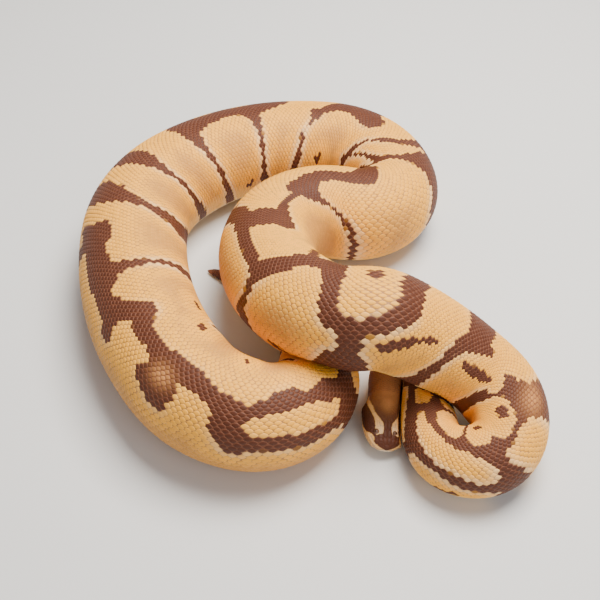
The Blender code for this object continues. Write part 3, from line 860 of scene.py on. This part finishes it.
def make_piece(name, points, faces, stored, material, uv=None, replaces=()):
    """A smooth piece from points (n, 3), triangles (m, 3), and stored numbers by name."""
    mesh = bpy.data.meshes.new(name)
    mesh.vertices.add(len(points))
    mesh.vertices.foreach_set("co", np.ascontiguousarray(points, np.float32).ravel())
    mesh.loops.add(faces.size)
    mesh.loops.foreach_set("vertex_index", np.ascontiguousarray(faces, np.int32).ravel())
    mesh.polygons.add(len(faces))
    mesh.polygons.foreach_set("loop_start", np.arange(0, faces.size, 3, dtype=np.int32))
    mesh.update(calc_edges=True)
    mesh.validate()
    for key, values in stored.items():
        layer = mesh.attributes.new(key, "FLOAT", "POINT")
        layer.data.foreach_set("value", np.ascontiguousarray(values, np.float32).ravel())
    if uv is not None:
        layer = mesh.uv_layers.new(name="OFBake")
        layer.data.foreach_set("uv", np.ascontiguousarray(uv[faces.ravel()], np.float32).ravel())
    mesh.shade_smooth()
    mesh.materials.append(material)
    piece = add_object(name, mesh)
    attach(piece, "root")
    if replaces:
        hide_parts(*replaces)
    print(f"{name}: {len(faces)} triangles")

# %% [markdown]
# Tubes, domes and flat ends are all made of rings of points, so their triangles are worked out
# once here.  The corners run anticlockwise seen from outside, which is how a face points outwards.

# %% Triangles that shapes share
def ring_faces(rings, sides):
    """Squares between rings of points that are stored one ring after another."""
    i, j = np.meshgrid(np.arange(rings - 1), np.arange(sides), indexing="ij")
    near, far, k = i * sides, (i + 1) * sides, (j + 1) % sides
    return np.stack([near + j, near + k, far + k, far + j], -1).reshape(-1, 4)


def halves(squares):
    """Two triangles for each square."""
    return np.concatenate([squares[:, [0, 1, 2]], squares[:, [0, 2, 3]]])


def closed_tube(rings, sides):
    """Triangles of a tube of rings, closed on the two tip points that are stored after them."""
    j = np.arange(sides)
    k = (j + 1) % sides
    end = (rings - 1) * sides
    tips = [np.stack([j, k, np.full(sides, rings * sides)], 1),
            np.stack([end + k, end + j, np.full(sides, rings * sides + 1)], 1)]
    return np.concatenate([halves(ring_faces(rings, sides)[:, ::-1])] + tips)


def flat_fan(sides, start):
    """Triangles that close the ring of points that begins at start, seen from its underside."""
    fan = np.arange(1, sides - 1)
    return start + np.stack([0 * fan, fan + 1, fan], 1)


def dome_faces(rings, sides, first=0):
    """Triangles of rings round a middle point stored first, with a flat underside.

    Each square of the wall is cut from its corner number first."""
    j = np.arange(sides)
    crown = np.stack([0 * j, 1 + j, 1 + (j + 1) % sides], 1)
    wall = 1 + np.roll(ring_faces(rings, sides)[:, ::-1], -first, axis=1)
    return np.concatenate([crown, halves(wall), flat_fan(sides, 1 + (rings - 1) * sides)])


def repeated(triangles, copies, points):
    """The same triangles for every copy of a shape with this many points."""
    return (triangles[None] + (np.arange(copies) * points)[:, None, None]).reshape(-1, 3)


def rounded_outline(sides, power, start):
    """Places on |u|^power + |v|^power = 1 at equal turns from start: a diamond, circle or square."""
    turn = start + np.arange(sides) * TURN / sides
    reach = (np.abs(np.cos(turn)) ** power + np.abs(np.sin(turn)) ** power) ** (-1 / power)
    return reach * np.cos(turn), reach * np.sin(turn)

# %% [markdown]
# Each scale has a small patch of its own on a bake map for the coat's colours, and the skin
# unrolled, its length by its girth, gives every scale its place.

# %% Places on the bake map
BAKE_MARGIN = 0.01
BAKE_PATCH = 0.0015


def bake_map(along, around):
    """Shares of a length and of a turn as places on the bake map, which keeps a margin."""
    return np.stack([along, around % 1], -1) * (1 - 2 * BAKE_MARGIN) + BAKE_MARGIN

# %% [markdown]
# ## The skin
# One closed tube from the snout to the tip of the tail stands for all the lengths of flesh, so
# that no seam shows.  It lies inside them by the thickness of a scale.

# %% Skin
SKIN_SIDES = 144
GROOVE_DEEP = 0.6 * MM
GROOVE_WIDE = 0.05
FLANK_FADE = (0.35, 0.95)  # radians from the middle of the back
PALE_FADE = (1.75, 2.25)
BELLY_FADE = 0.12
JAW_END = 3 * CM
JAW_EDGE = 1.95
SKIN_RIM = (0.7, 0.9)  # between the scales of the head and of the body
FLESH = ("head_upper", "lower_jaw", "neck", "nape_turn", "small_curl_front", "small_curl_rear",
         "crossing", "inner_bend_near", "inner_bend_far", "far_hairpin", "far_leg", "far_arc",
         "left_side", "near_left", "near_turn", "hind_trunk", "tail")


def stored_markings(s, t):
    """The numbers that the skin and scale materials read, at places s and angles t."""
    below = np.abs(nearest_turn(t - back_angle(s)))
    tones = markings(s / CM, round_cm(s, t), fade(below, *FLANK_FADE))
    edge = np.where(s < JAW_END, JAW_EDGE, math.pi - BELLY_HALF)
    tones["belly"] = np.clip((below - edge) / BELLY_FADE + 0.5, 0, 1)
    tones["pale"] = fade(below, *PALE_FADE)
    return tones


def make_skin():
    """Rings half a millimetre apart on the head and two on the body, closed at both tips."""
    rings = np.concatenate([ends_fine[1:], np.arange(2, 40, 0.5) * MM,
                            np.arange(0.040, LENGTH - TIP_GAP, 0.002), LENGTH - ends_fine[:0:-1]])
    turns = np.arange(SKIN_SIDES) * TURN / SKIN_SIDES
    s, t = np.meshgrid(rings, turns, indexing="ij")
    mouth = np.interp(s, mouth_s, mouth_t)
    groove = np.exp(-((np.abs(nearest_turn(t)) - mouth) / GROOVE_WIDE) ** 2)
    points = on_skin(s, t, -GROOVE_DEEP * groove * (s < JAW_HINGE)).reshape(-1, 3)
    stored = stored_markings(s.ravel(), t.ravel())
    stored["tone"] = np.full(s.size, 0.5)
    stored["rim"] = np.where(s.ravel() < HEAD_END, *SKIN_RIM)
    tips = on_skin(np.array([0.0, LENGTH]), np.zeros(2), np.zeros(2))
    points = np.concatenate([points, tips])
    stored = {key: np.append(values, values[[0, -1]]) for key, values in stored.items()}
    triangles = closed_tube(len(rings), SKIN_SIDES)
    make_piece("skin", points, triangles, stored, SKIN_MATERIAL, replaces=FLESH)


make_skin()

# %% [markdown]
# ## Scales
# Scales stand in rows along the body, each row half a scale behind its neighbours.  The rows
# narrow less than the body does, so a thin neck or tail has fewer of them, and the lowest rows
# are the widest.  One scale is a low dome on a rounded diamond, tilted so that its free edge
# points to the tail.  All of them are one array: a table of middles times the dome's points.

# %% Rows of scales
SCALE_LONG = 2.95 * MM
SCALE_ROW = 1.85 * MM
REFERENCE = 3.05 * CM
ROW_GROWTH = 0.017
MOST_STRETCH = 1.9
DIAMOND = 1.5
DOME_SIDES = 8
DOME = ((0.60, 0.82), (0.90, 0.42), (1.0, -0.40))
DOME_HEIGHT = 0.29 * MM
FREE_EDGE = 0.09 * MM
LONG_GROWTH = (0.85, 0.52, 1.05)  # power of the girth, least and most growth
WIDE_GROWTH = (0.6, 0.52, 1.08)
HALF_SIZE = (0.53, 0.72)  # over one half, so that neighbours overlap
SQUEEZE = 0.35
LEAST_STRETCH = 0.05
LEAST_TURN = 0.2
EDGE_FALL = 0.6
RIM_FADE = (0.3, 0.8)
LEAST_RIM = 0.4
BELLY_LAP = 0.01
FINE_STEP = 0.5 * MM
MOST_ROWS = 56
PLACE_DRIFT = 0.03
SIZE_DRIFT = 0.04
FIRST_SCALE = 3.3 * CM
LAST_SCALE = LENGTH - 0.5 * CM
COAT_LENGTHS = (("neck", 0, 14), ("small_curl", 14, 26), ("crossing", 26, 37), ("inner_bend", 37, 48),
                ("far_turn", 48, 60), ("far_arc", 60, 72), ("left_arc", 72, 84), ("left_side", 84, 96),
                ("near_turn", 96, 107), ("hind_and_tail", 107, 130))
draws = np.random.default_rng(7)

# %% [markdown]
# Scales grow with the body, though less than it does.  Counting them along the body by adding up
# one over their length puts each middle where it belongs, whatever the size there.

# %% Places of the scales
def grown(size, s, power, least, most):
    """A size at the reference girth, scaled to the place s by a power of the girth, within limits."""
    return size * np.clip((radius_at(s) / REFERENCE) ** power, least, most)


def scale_size(s):
    """Length and width of a scale at s."""
    return grown(SCALE_LONG, s, *LONG_GROWTH), grown(SCALE_ROW, s, *WIDE_GROWTH)


def scale_middles():
    """Places and angles of every scale: rows j from the middle of the back, i along each row."""
    along = np.arange(0.0, LENGTH, FINE_STEP)
    count = running_sum(1 / scale_size(along)[0], FINE_STEP)
    rows = np.arange(-MOST_ROWS, MOST_ROWS + 1)
    i, j = np.meshgrid(np.arange(int(count[-1])), rows, indexing="ij")
    order = i + 0.5 * (j % 2) + PLACE_DRIFT * draws.standard_normal(i.shape)
    s = np.interp(order, count, along)
    across = scale_size(s)[1] * j * (1 + ROW_GROWTH * np.abs(j))
    angle = across / radius_at(s)
    kept = (np.abs(angle) < math.pi - BELLY_HALF + BELLY_LAP) & (s > FIRST_SCALE) & (s < LAST_SCALE)
    s, j, angle = s[kept], j[kept], angle[kept]
    long, wide = scale_size(s)
    return s, back_angle(s) + angle, long, wide * (1 + 2 * ROW_GROWTH * np.abs(j))

# %% [markdown]
# One scale is three rings round a middle point.  With fewer than fifty faces it stays light
# enough to be laid down more than twenty thousand times.

# %% One scale
def dome_template():
    """Points (u, v, rim, height) of one scale: rings of a rounded diamond under a centre point."""
    u, v = rounded_outline(DOME_SIDES, DIAMOND, 0.0)
    rows = [np.array([[0, 0, 0, 1.0]])]
    for out, height in DOME:
        rows.append(np.stack([out * u, out * v, np.full(DOME_SIDES, out), np.full(DOME_SIDES, height)], 1))
    return np.concatenate(rows), dome_faces(len(DOME), DOME_SIDES, 3)


DOME_POINTS, DOME_FACES = dome_template()
print("a scale has", len(DOME_FACES), "triangles")

# %% [markdown]
# Each scale is bent to the skin by moving its points along the body, round it and outwards.
# Instances of one flat scale would be lighter, but they would stand off in a tight bend.

# %% Lay the coat
def scale_mesh(s, t, long, wide, span):
    """Points, faces, stored numbers and bake map of the scales with these middles and sizes."""
    stretch = np.maximum(read_table(table_stretch, s, t), LEAST_STRETCH)
    girth = np.maximum(read_table(table_girth, s, t), LEAST_TURN * radius_at(s))
    half_long = HALF_SIZE[0] * long * np.minimum(1, MOST_STRETCH / stretch)
    half_wide = HALF_SIZE[1] * wide * np.minimum(1 / radius_at(s), MOST_STRETCH / girth)
    squeeze = np.clip(stretch, SQUEEZE, 1.0)
    size = 1 + SIZE_DRIFT * draws.standard_normal(len(s))
    u, v, rim, height = DOME_POINTS.T
    place = s[:, None] + (half_long * size)[:, None] * u
    angle = t[:, None] + (half_wide * size)[:, None] * v
    tilt = FREE_EDGE * (u * (1 - EDGE_FALL * rim ** 4))
    lift = (DOME_HEIGHT * squeeze * size)[:, None] * height + tilt
    points = on_skin(place, angle, lift).reshape(-1, 3)
    faces = repeated(DOME_FACES, len(s), len(u))
    stored = {key: np.repeat(value, len(u)) for key, value in stored_markings(s, t).items()}
    stored["tone"] = np.repeat(draws.random(len(s)), len(u))
    stored["rim"] = (np.maximum(fade(squeeze, *RIM_FADE), LEAST_RIM)[:, None] * rim).ravel()
    low, high = span
    uv = bake_map((s - low) / (high - low), t / TURN)[:, None, :] + BAKE_PATCH * np.stack([u, v], 1)
    return points, faces, stored, uv.reshape(-1, 2)


def make_scales():
    """One piece for each length of the coat."""
    s, t, long, wide = scale_middles()
    print(len(s), "body scales")
    for name, start, end in COAT_LENGTHS:
        chosen = (s >= start * CM) & (s < end * CM)
        span = (start * CM, min(end * CM, LENGTH))
        points, faces, stored, uv = scale_mesh(s[chosen], t[chosen], long[chosen], wide[chosen], span)
        make_piece("scales_" + name, points, faces, stored, SCALE_MATERIAL, uv=uv)


make_scales()

# %% [markdown]
# ## Belly plates
# Under the body lies one row of wide plates, each as wide as the belly and overlapping the next,
# smooth because the snake slides on them.  Each is a band whose section is a thin wedge, thickest
# at its free rear edge, drawn round that section and across the belly.  Scales as small as those
# of the back would be simpler, but no python has them there.

# %% Belly plates
SCUTE_PITCH = 5.4 * MM
SCUTE_HALF = BELLY_HALF + 0.07
SCUTE_SPAN = 9
SCUTE_TOP = 0.30 * MM
SCUTE_GROWTH = (0.8, 0.35, 1.1)
SCUTE_TIP = 0.35
SCUTE_SQUARE = 8
SCUTE_SUNK = 0.5
SCUTE_RIM = 0.35
SCUTE_WEDGE = ((-0.62, -0.5), (-0.35, 0.35), (0.45, 0.95), (0.60, 0.5), (0.58, -0.5))
FIRST_SCUTE = 3.6 * CM


def scute_places():
    """Places of the plates: their pitch shortens with the girth along the neck and tail."""
    along = np.arange(FIRST_SCUTE, LAST_SCALE, FINE_STEP)
    pitch = grown(SCUTE_PITCH, along, *SCUTE_GROWTH)
    count = running_sum(1 / pitch, FINE_STEP)
    order = np.arange(0.5, count[-1])
    return np.interp(order, count, along), np.interp(order, count, pitch)


def make_scutes():
    """Loops round the wedge at steps across the belly, drawn in and closed by a fan at each end."""
    s0, pitch = scute_places()
    u, h = np.array(SCUTE_WEDGE).T
    v = np.linspace(-1, 1, SCUTE_SPAN)
    taper = (1 - np.abs(v) ** SCUTE_SQUARE) ** 0.5
    narrowed = SCUTE_TIP + (1 - SCUTE_TIP) * taper
    s = s0[:, None, None] + pitch[:, None, None] * u * narrowed[:, None]
    middle = (back_angle(s0) + math.pi)[:, None, None]
    t = middle + SCUTE_HALF * v[:, None] + 0 * s
    lift = SCUTE_TOP * (h * taper[:, None] - SCUTE_SUNK * (1 - taper[:, None])) + 0 * s
    points = on_skin(s, t, lift).reshape(-1, 3)
    wedge = len(u)
    near_end = flat_fan(wedge, 0)
    far_end = flat_fan(wedge, (SCUTE_SPAN - 1) * wedge)[:, ::-1]
    triangles = np.concatenate([halves(ring_faces(SCUTE_SPAN, wedge)), near_end, far_end])
    faces = repeated(triangles, len(s0), SCUTE_SPAN * wedge)
    stored = stored_markings(s.ravel(), t.ravel())
    stored["tone"] = np.repeat(draws.random(len(s0)), SCUTE_SPAN * wedge)
    stored["rim"] = np.tile(np.clip(u + SCUTE_RIM, 0, 1), len(s0) * SCUTE_SPAN)
    patch = BAKE_PATCH * np.stack([np.tile(u, SCUTE_SPAN), np.repeat(v, wedge)], 1)
    uv = (bake_map(s0 / LENGTH, np.full(len(s0), 0.5))[:, None, :] + patch).reshape(-1, 2)
    print(len(s0), "belly plates")
    make_piece("belly_plates", points, faces, stored, SCALE_MATERIAL, uv=uv)


make_scutes()

# %% [markdown]
# ## Head plates
# Each plate is a low cushion with a rounded square outline.  It is drawn like the body's
# scales but with more points, and its colour is read at every point, because on large plates
# the markings cross from one to the next.  Pits and nostrils are plates whose middle is sunk,
# and their deep middle is coloured dark brown as painted shade.

# %% Lists of plates
TOP_PLATES = (
    # cm from the snout, share round, half-length cm, half-width share, depth of its pit (below 0: raised)
    (0.42, 0.15, 0.19, 0.14, 0), (0.84, 0.13, 0.22, 0.12, 0), (1.27, 0.09, 0.20, 0.085, 0),
    (1.04, 0.30, 0.21, 0.080, 0), (0.66, 0.37, 0.13, 0.11, 0), (0.45, 0.40, 0.12, 0.10, 0),
    (0.22, 0.46, 0.11, 0.12, 1), (0.42, 0.61, 0.12, 0.09, 0), (0.62, 0.60, 0.10, 0.085, 0),
    (1.56, 0.07, 0.12, 0.062, 0), (1.42, 0.25, 0.14, 0.085, 0), (1.68, 0.20, 0.12, 0.070, 0),
)
UPPER_LABIALS = 10
LOWER_LABIALS = 13
PITS = 4
HEAD_ROWS = 11
CHIN_ROWS = 7
HEAD_PITCH = 0.168 * CM
PLATE_SQUARE = 3.6
PLATE_RIM = 0.70
CUSHION = ((0.35, 0.97), (0.62, 0.86), (0.84, 0.55), (0.95, 0.10), (1.0, -0.45))
CUSHION_SIDES = 16
SMALL_CUSHION = ((0.62, 0.88), (0.90, 0.42), (1.0, -0.45))
SMALL_SIDES = 12
ROSTRAL = ((0.11, 0.0, 0.10, 0.34, 0), (0.12, 2.0, 0.11, 0.40, 0))
CUSHION_HEIGHT = 0.24 * MM
PIT_DEPTH = 0.75 * MM
UPPER_LABIAL = (0.895, 0.128, 0.085)
LOWER_LABIAL = (1.13, 0.098, 0.09)
FRONT_LABIALS = ((0.13, 0.76, 0.10, 0.15, 0), (0.13, 1.28, 0.10, 0.22, 0))
CHEEK_END = 0.80
CHIN_START = 1.24
SMALL_FROM = 0.25
SMALL_HALF = 0.105
SMALL_OVERLAP = 1.25
PLATE_CLEAR = (0.03, 0.015)
EYE_SQUASH = 1.1
SNOUT_LEAST = 0.004
PIT_WIDE = 0.42
RAISE = 3
# Painted shade: how deep a pit must sink before it is coloured dark.
PIT_SHADE_FROM = 0.4
BAKED_HEAD = 4 * CM
SNOUT_BARE = (0.62, 0.66)
EYE_AT = (0.97 * CM, 0.52)
EYE_CLEAR = 0.245 * CM
EYE_RING = 12
RING_REACH = (0.20, 0.125)
RING_SCALE = (0.070, 0.042)
RING_RAISED = 0.1
BROW_RAISED = 0.3

# %% [markdown]
# The labials stand in single file, the small scales in staggered rows, and a ring of them goes
# round the eye.  Small scales that would lie under a large plate or on the eye are left out.

# %% Places of the plates
def both_sides(rows):
    """The rows and their mirror images."""
    rows = np.array(rows, float)
    mirrored = rows * np.array([1, -1, 1, 1, 1])
    return np.concatenate([rows, mirrored[np.abs(rows[:, 1]) > 1e-6]])


def labial_row(count, shape, pits):
    """Plates in single file from the snout's tip to the jaw's hinge; the first few are pitted."""
    place = SNOUT_TIP + (np.arange(count) + 0.5) * (JAW_HINGE - SNOUT_TIP) / count
    return np.column_stack([place / CM, np.tile(shape, (count, 1)), np.arange(count) < pits])


def labial_rows():
    """Upper and lower labials along the mouth, and the foremost ones beside the rostral."""
    return np.concatenate([labial_row(UPPER_LABIALS, UPPER_LABIAL, PITS),
                           labial_row(LOWER_LABIALS, LOWER_LABIAL, 0), FRONT_LABIALS])


def small_rows():
    """Staggered small scales wherever no larger plate, labial or eye is in the way."""
    shares, halves_wide = [], []
    for start, end, count in ((0, CHEEK_END, HEAD_ROWS), (CHIN_START, 2, CHIN_ROWS)):
        shares.append(start + (np.arange(count) + 0.5) * (end - start) / count)
        halves_wide.append(np.full(count, 0.5 * (end - start) / count))
    share, wide = np.concatenate(shares), np.concatenate(halves_wide)
    place = np.arange(SMALL_FROM, HEAD_END / CM, HEAD_PITCH / CM)
    s, k = np.meshgrid(place, np.arange(len(share)), indexing="ij")
    s = s + 0.5 * HEAD_PITCH / CM * (k % 2)
    rows = np.stack([s, share[k], 0 * s + SMALL_HALF, SMALL_OVERLAP * wide[k], 0 * s], -1).reshape(-1, 5)
    clear = np.ones(len(rows), bool)
    for plate in TOP_PLATES:
        away = np.abs((rows[:, 0] - plate[0]) / (plate[2] + PLATE_CLEAR[0])) ** 3
        away += np.abs((rows[:, 1] - plate[1]) / (plate[3] + PLATE_CLEAR[1])) ** 3
        clear &= away > 1
    mouth = np.interp(rows[:, 0] * CM, mouth_s, mouth_t)
    across = (rows[:, 1] - EYE_AT[1]) * mouth * EYE_SQUASH
    clear &= np.hypot(rows[:, 0] - EYE_AT[0] / CM, across) > EYE_CLEAR / CM
    clear &= (rows[:, 0] > SNOUT_BARE[0]) | (rows[:, 1] > SNOUT_BARE[1])
    return rows[clear]


def eye_ring():
    """A ring of small raised scales round the eye, the highest of them on its crown side as a brow."""
    turn = np.arange(EYE_RING) * TURN / EYE_RING
    s = EYE_AT[0] / CM + RING_REACH[0] * np.cos(turn)
    share = EYE_AT[1] - RING_REACH[1] * np.sin(turn)
    raised = RING_RAISED + BROW_RAISED * np.clip(np.sin(turn), 0, 1)
    return np.column_stack([s, share, np.tile(RING_SCALE, (EYE_RING, 1)), -raised])

# %% [markdown]
# The plates become cushions on the skin, by the same steps as the scales.  The head's and the
# jaw's are pieces of their own, because their bake maps are cut open on opposite sides.

# %% Lay the plates
def cushion_mesh(rows, profile, sides, seam):
    """Points, faces, stored numbers and bake map of plates from their rows; no plate may cross the seam."""
    s0, share, half, wide, pit = rows.T
    across, along = rounded_outline(sides, PLATE_SQUARE, TURN / 8)
    ring, height = np.array(profile).T
    u = np.append(0, (ring[:, None] * across).ravel())
    v = np.append(0, (ring[:, None] * along).ravel())
    rho = np.append(0, np.repeat(ring, sides))
    rise = np.append(1, np.repeat(height, sides))
    s = np.clip(s0[:, None] + half[:, None] * u, SNOUT_LEAST, None) * CM
    t = head_angle(s, share[:, None] + wide[:, None] * v)
    sunk = np.clip(pit, 0, None)[:, None] * np.exp(-(rho / PIT_WIDE) ** 4)
    taller = 1 + RAISE * np.clip(-pit, 0, None)[:, None]
    points = on_skin(s, t, CUSHION_HEIGHT * taller * rise - PIT_DEPTH * sunk)
    faces = repeated(dome_faces(len(profile), sides), len(rows), len(u))
    stored = stored_markings(s.ravel(), t.ravel())
    stored["tone"] = np.repeat(draws.random(len(rows)), len(u))
    stored["rim"] = np.tile(PLATE_RIM * rho, len(rows))
    # Painted shade: the deep middle of each pit and nostril is coloured dark brown.
    stored["dark"] = np.maximum(stored["dark"], 1.0 * (sunk.ravel() > PIT_SHADE_FROM))
    uv = bake_map(s.ravel() / BAKED_HEAD, (t.ravel() - seam) / TURN)
    return points.reshape(-1, 3), faces, stored, uv


def make_head():
    """Rostral, plates and labials with more points, small scales with fewer; the jaw's are pieces apart."""
    large = np.concatenate([both_sides(TOP_PLATES), both_sides(labial_rows()), np.array(ROSTRAL, float)])
    small = np.concatenate([both_sides(small_rows()), both_sides(eye_ring())])
    for kind, rows, profile, sides in (("plates", large, CUSHION, CUSHION_SIDES),
                                       ("scales", small, SMALL_CUSHION, SMALL_SIDES)):
        print(len(rows), "head", kind)
        upper = np.abs(rows[:, 1]) < 1.0
        for place, chosen, seam in (("head", upper, math.pi), ("jaw", ~upper, 0.0)):
            points, faces, stored, uv = cushion_mesh(rows[chosen], profile, sides, seam)
            make_piece(f"{place}_{kind}", points, faces, stored, SCALE_MATERIAL, uv=uv)


make_head()

# %% [markdown]
# ## Eyes
# A snake has no lids: a clear scale covers the eye, which always shines.  The pupil is an upright
# slit in a dark brown iris.  The ball has the solid's own size, and is set a little deeper, as the
# skin lies inside the solids.

# %% Eyes
IRIS = ((0.085, 0.034, 0.020), (0.22, 0.095, 0.050))
PUPIL = (0.002, 0.002, 0.002)
STREAKS = 2500.0
EYE_SUNK = 0.55 * MM
EYE_RINGS = 40
EYE_SIDES = 64
EYE_TIP = 0.02
SLIT = (0.50, 0.15)
SLIT_EDGE = 1.4
LOOKS = (0.6, 0.8, 0.4)  # shares of the side, the top and the front
INWARD = (-0.75, -0.66)


def eye_material():
    """Dark iris under a wet clear scale."""
    made, tree, shader = new_material("eye_dark", Roughness=0.06, Specular_IOR_Level=0.6)
    iris = blend(tree, clouds(tree, STREAKS), *IRIS)
    wire(tree, shader, Base_Color=blend(tree, reading(tree, "pupil"), iris, PUPIL))
    return made


EYE_MATERIAL = eye_material()


def make_eye(name, outward, inward):
    """A ball of latitude and longitude about the outward axis; the slit is a narrow upright ellipse."""
    low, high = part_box(name)
    centre, radius = np.array((low + high) / 2) + EYE_SUNK * inward, (high - low)[2] / 2
    lat = np.linspace(EYE_TIP, math.pi - EYE_TIP, EYE_RINGS)
    lon = np.arange(EYE_SIDES) * TURN / EYE_SIDES
    a, b = np.meshgrid(lat, lon, indexing="ij")
    out = np.array(outward) / np.linalg.norm(outward)
    up = np.array((0.0, 0.0, 1.0)) - out * out[2]
    up /= np.linalg.norm(up)
    across = np.cross(out, up)
    local = np.stack([np.cos(a), np.sin(a) * np.cos(b), np.sin(a) * np.sin(b)], -1)
    points = centre + radius * (local[..., :1] * out + local[..., 1:2] * up + local[..., 2:] * across)
    slit = (local[..., 1] / SLIT[0]) ** 2 + (local[..., 2] / SLIT[1]) ** 2
    pupil = np.clip(SLIT_EDGE - slit, 0, 1) * (local[..., 0] > 0)
    points = np.concatenate([points.reshape(-1, 3), [centre + radius * out, centre - radius * out]])
    triangles = closed_tube(EYE_RINGS, EYE_SIDES)
    stored = {"pupil": np.append(pupil.ravel(), [1.0, 0.0])}
    make_piece(name + "_ball", points, triangles, stored, EYE_MATERIAL, replaces=(name,))


_, _, head_side, head_top = frame_at(np.array([EYE_AT[0]]))
head_front = -columns_at(EYE_AT[0], axis_tangent)
for eye_name, way in (("eye_right", 1), ("eye_left", -1)):
    aside = way * head_side[0]
    looks = LOOKS[0] * aside + LOOKS[1] * head_top[0] + LOOKS[2] * head_front
    make_eye(eye_name, looks, INWARD[0] * aside + INWARD[1] * head_top[0])

# %% [markdown]
# ## Floor, light and camera
# A pale floor, one broad soft light overhead and a weaker one from the front show the model as
# on a plinth.  The camera looks down from the front at a little over forty-five degrees.

# %% Stage
TARGET = Vector((0.0014, -0.0285, 0.03))
ELEVATION = math.radians(47)
DISTANCE = 0.62
LENS = 60.0
FLOOR_HALF = 3.0


def make_floor():
    """A wide level square just under the animal."""
    mesh = bpy.data.meshes.new("floor")
    corners = [(x, y, 0) for x, y in ((-1, -1), (1, -1), (1, 1), (-1, 1))]
    mesh.from_pydata([Vector(corner) * FLOOR_HALF for corner in corners], [], [(0, 1, 2, 3)])
    made, tree, shader = new_material("floor_paper", Roughness=0.7)
    shade = clouds(tree, 3.0)
    wire(tree, shader, Base_Color=blend(tree, shade, (0.70, 0.69, 0.67), (0.73, 0.72, 0.70)))
    mesh.materials.append(made)
    add_object("floor", mesh)


def face_target(item, place):
    """Puts a light or camera at a place and turns it to the animal."""
    item.location = place
    item.rotation_euler = (TARGET - place).to_track_quat("-Z", "Y").to_euler()


def make_light(name, place, size, power, colour):
    """A square soft light that faces the animal."""
    data = bpy.data.lights.new(name, "AREA")
    data.size = size
    data.energy = power
    data.color = colour
    face_target(add_object(name, data), Vector(place))


def make_camera():
    """Looks at the target from the front and above."""
    data = bpy.data.cameras.new("camera")
    data.lens = LENS
    data.sensor_width = 36.0
    data.clip_start = 0.01
    camera = add_object("camera", data)
    back = Vector((0, -math.cos(ELEVATION), math.sin(ELEVATION)))
    face_target(camera, TARGET + back * DISTANCE)
    bpy.context.scene.camera = camera


make_floor()
make_light("overhead", (0.25, 0.20, 1.0), 0.6, 27.0, (1.0, 0.96, 0.90))
make_light("front_fill", (0.5, -1.0, 0.7), 0.8, 5.0, (1.0, 0.98, 0.96))
make_camera()
world = bpy.context.scene.world or bpy.data.worlds.new("world")
bpy.context.scene.world = world
world.use_nodes = True
sky = world.node_tree.nodes["Background"]
sky.inputs["Color"].default_value = (0.9, 0.92, 1.0, 1.0)
sky.inputs["Strength"].default_value = 0.35
print("camera", round(DISTANCE * 100), "cm away, looking down", round(math.degrees(ELEVATION)), "degrees")
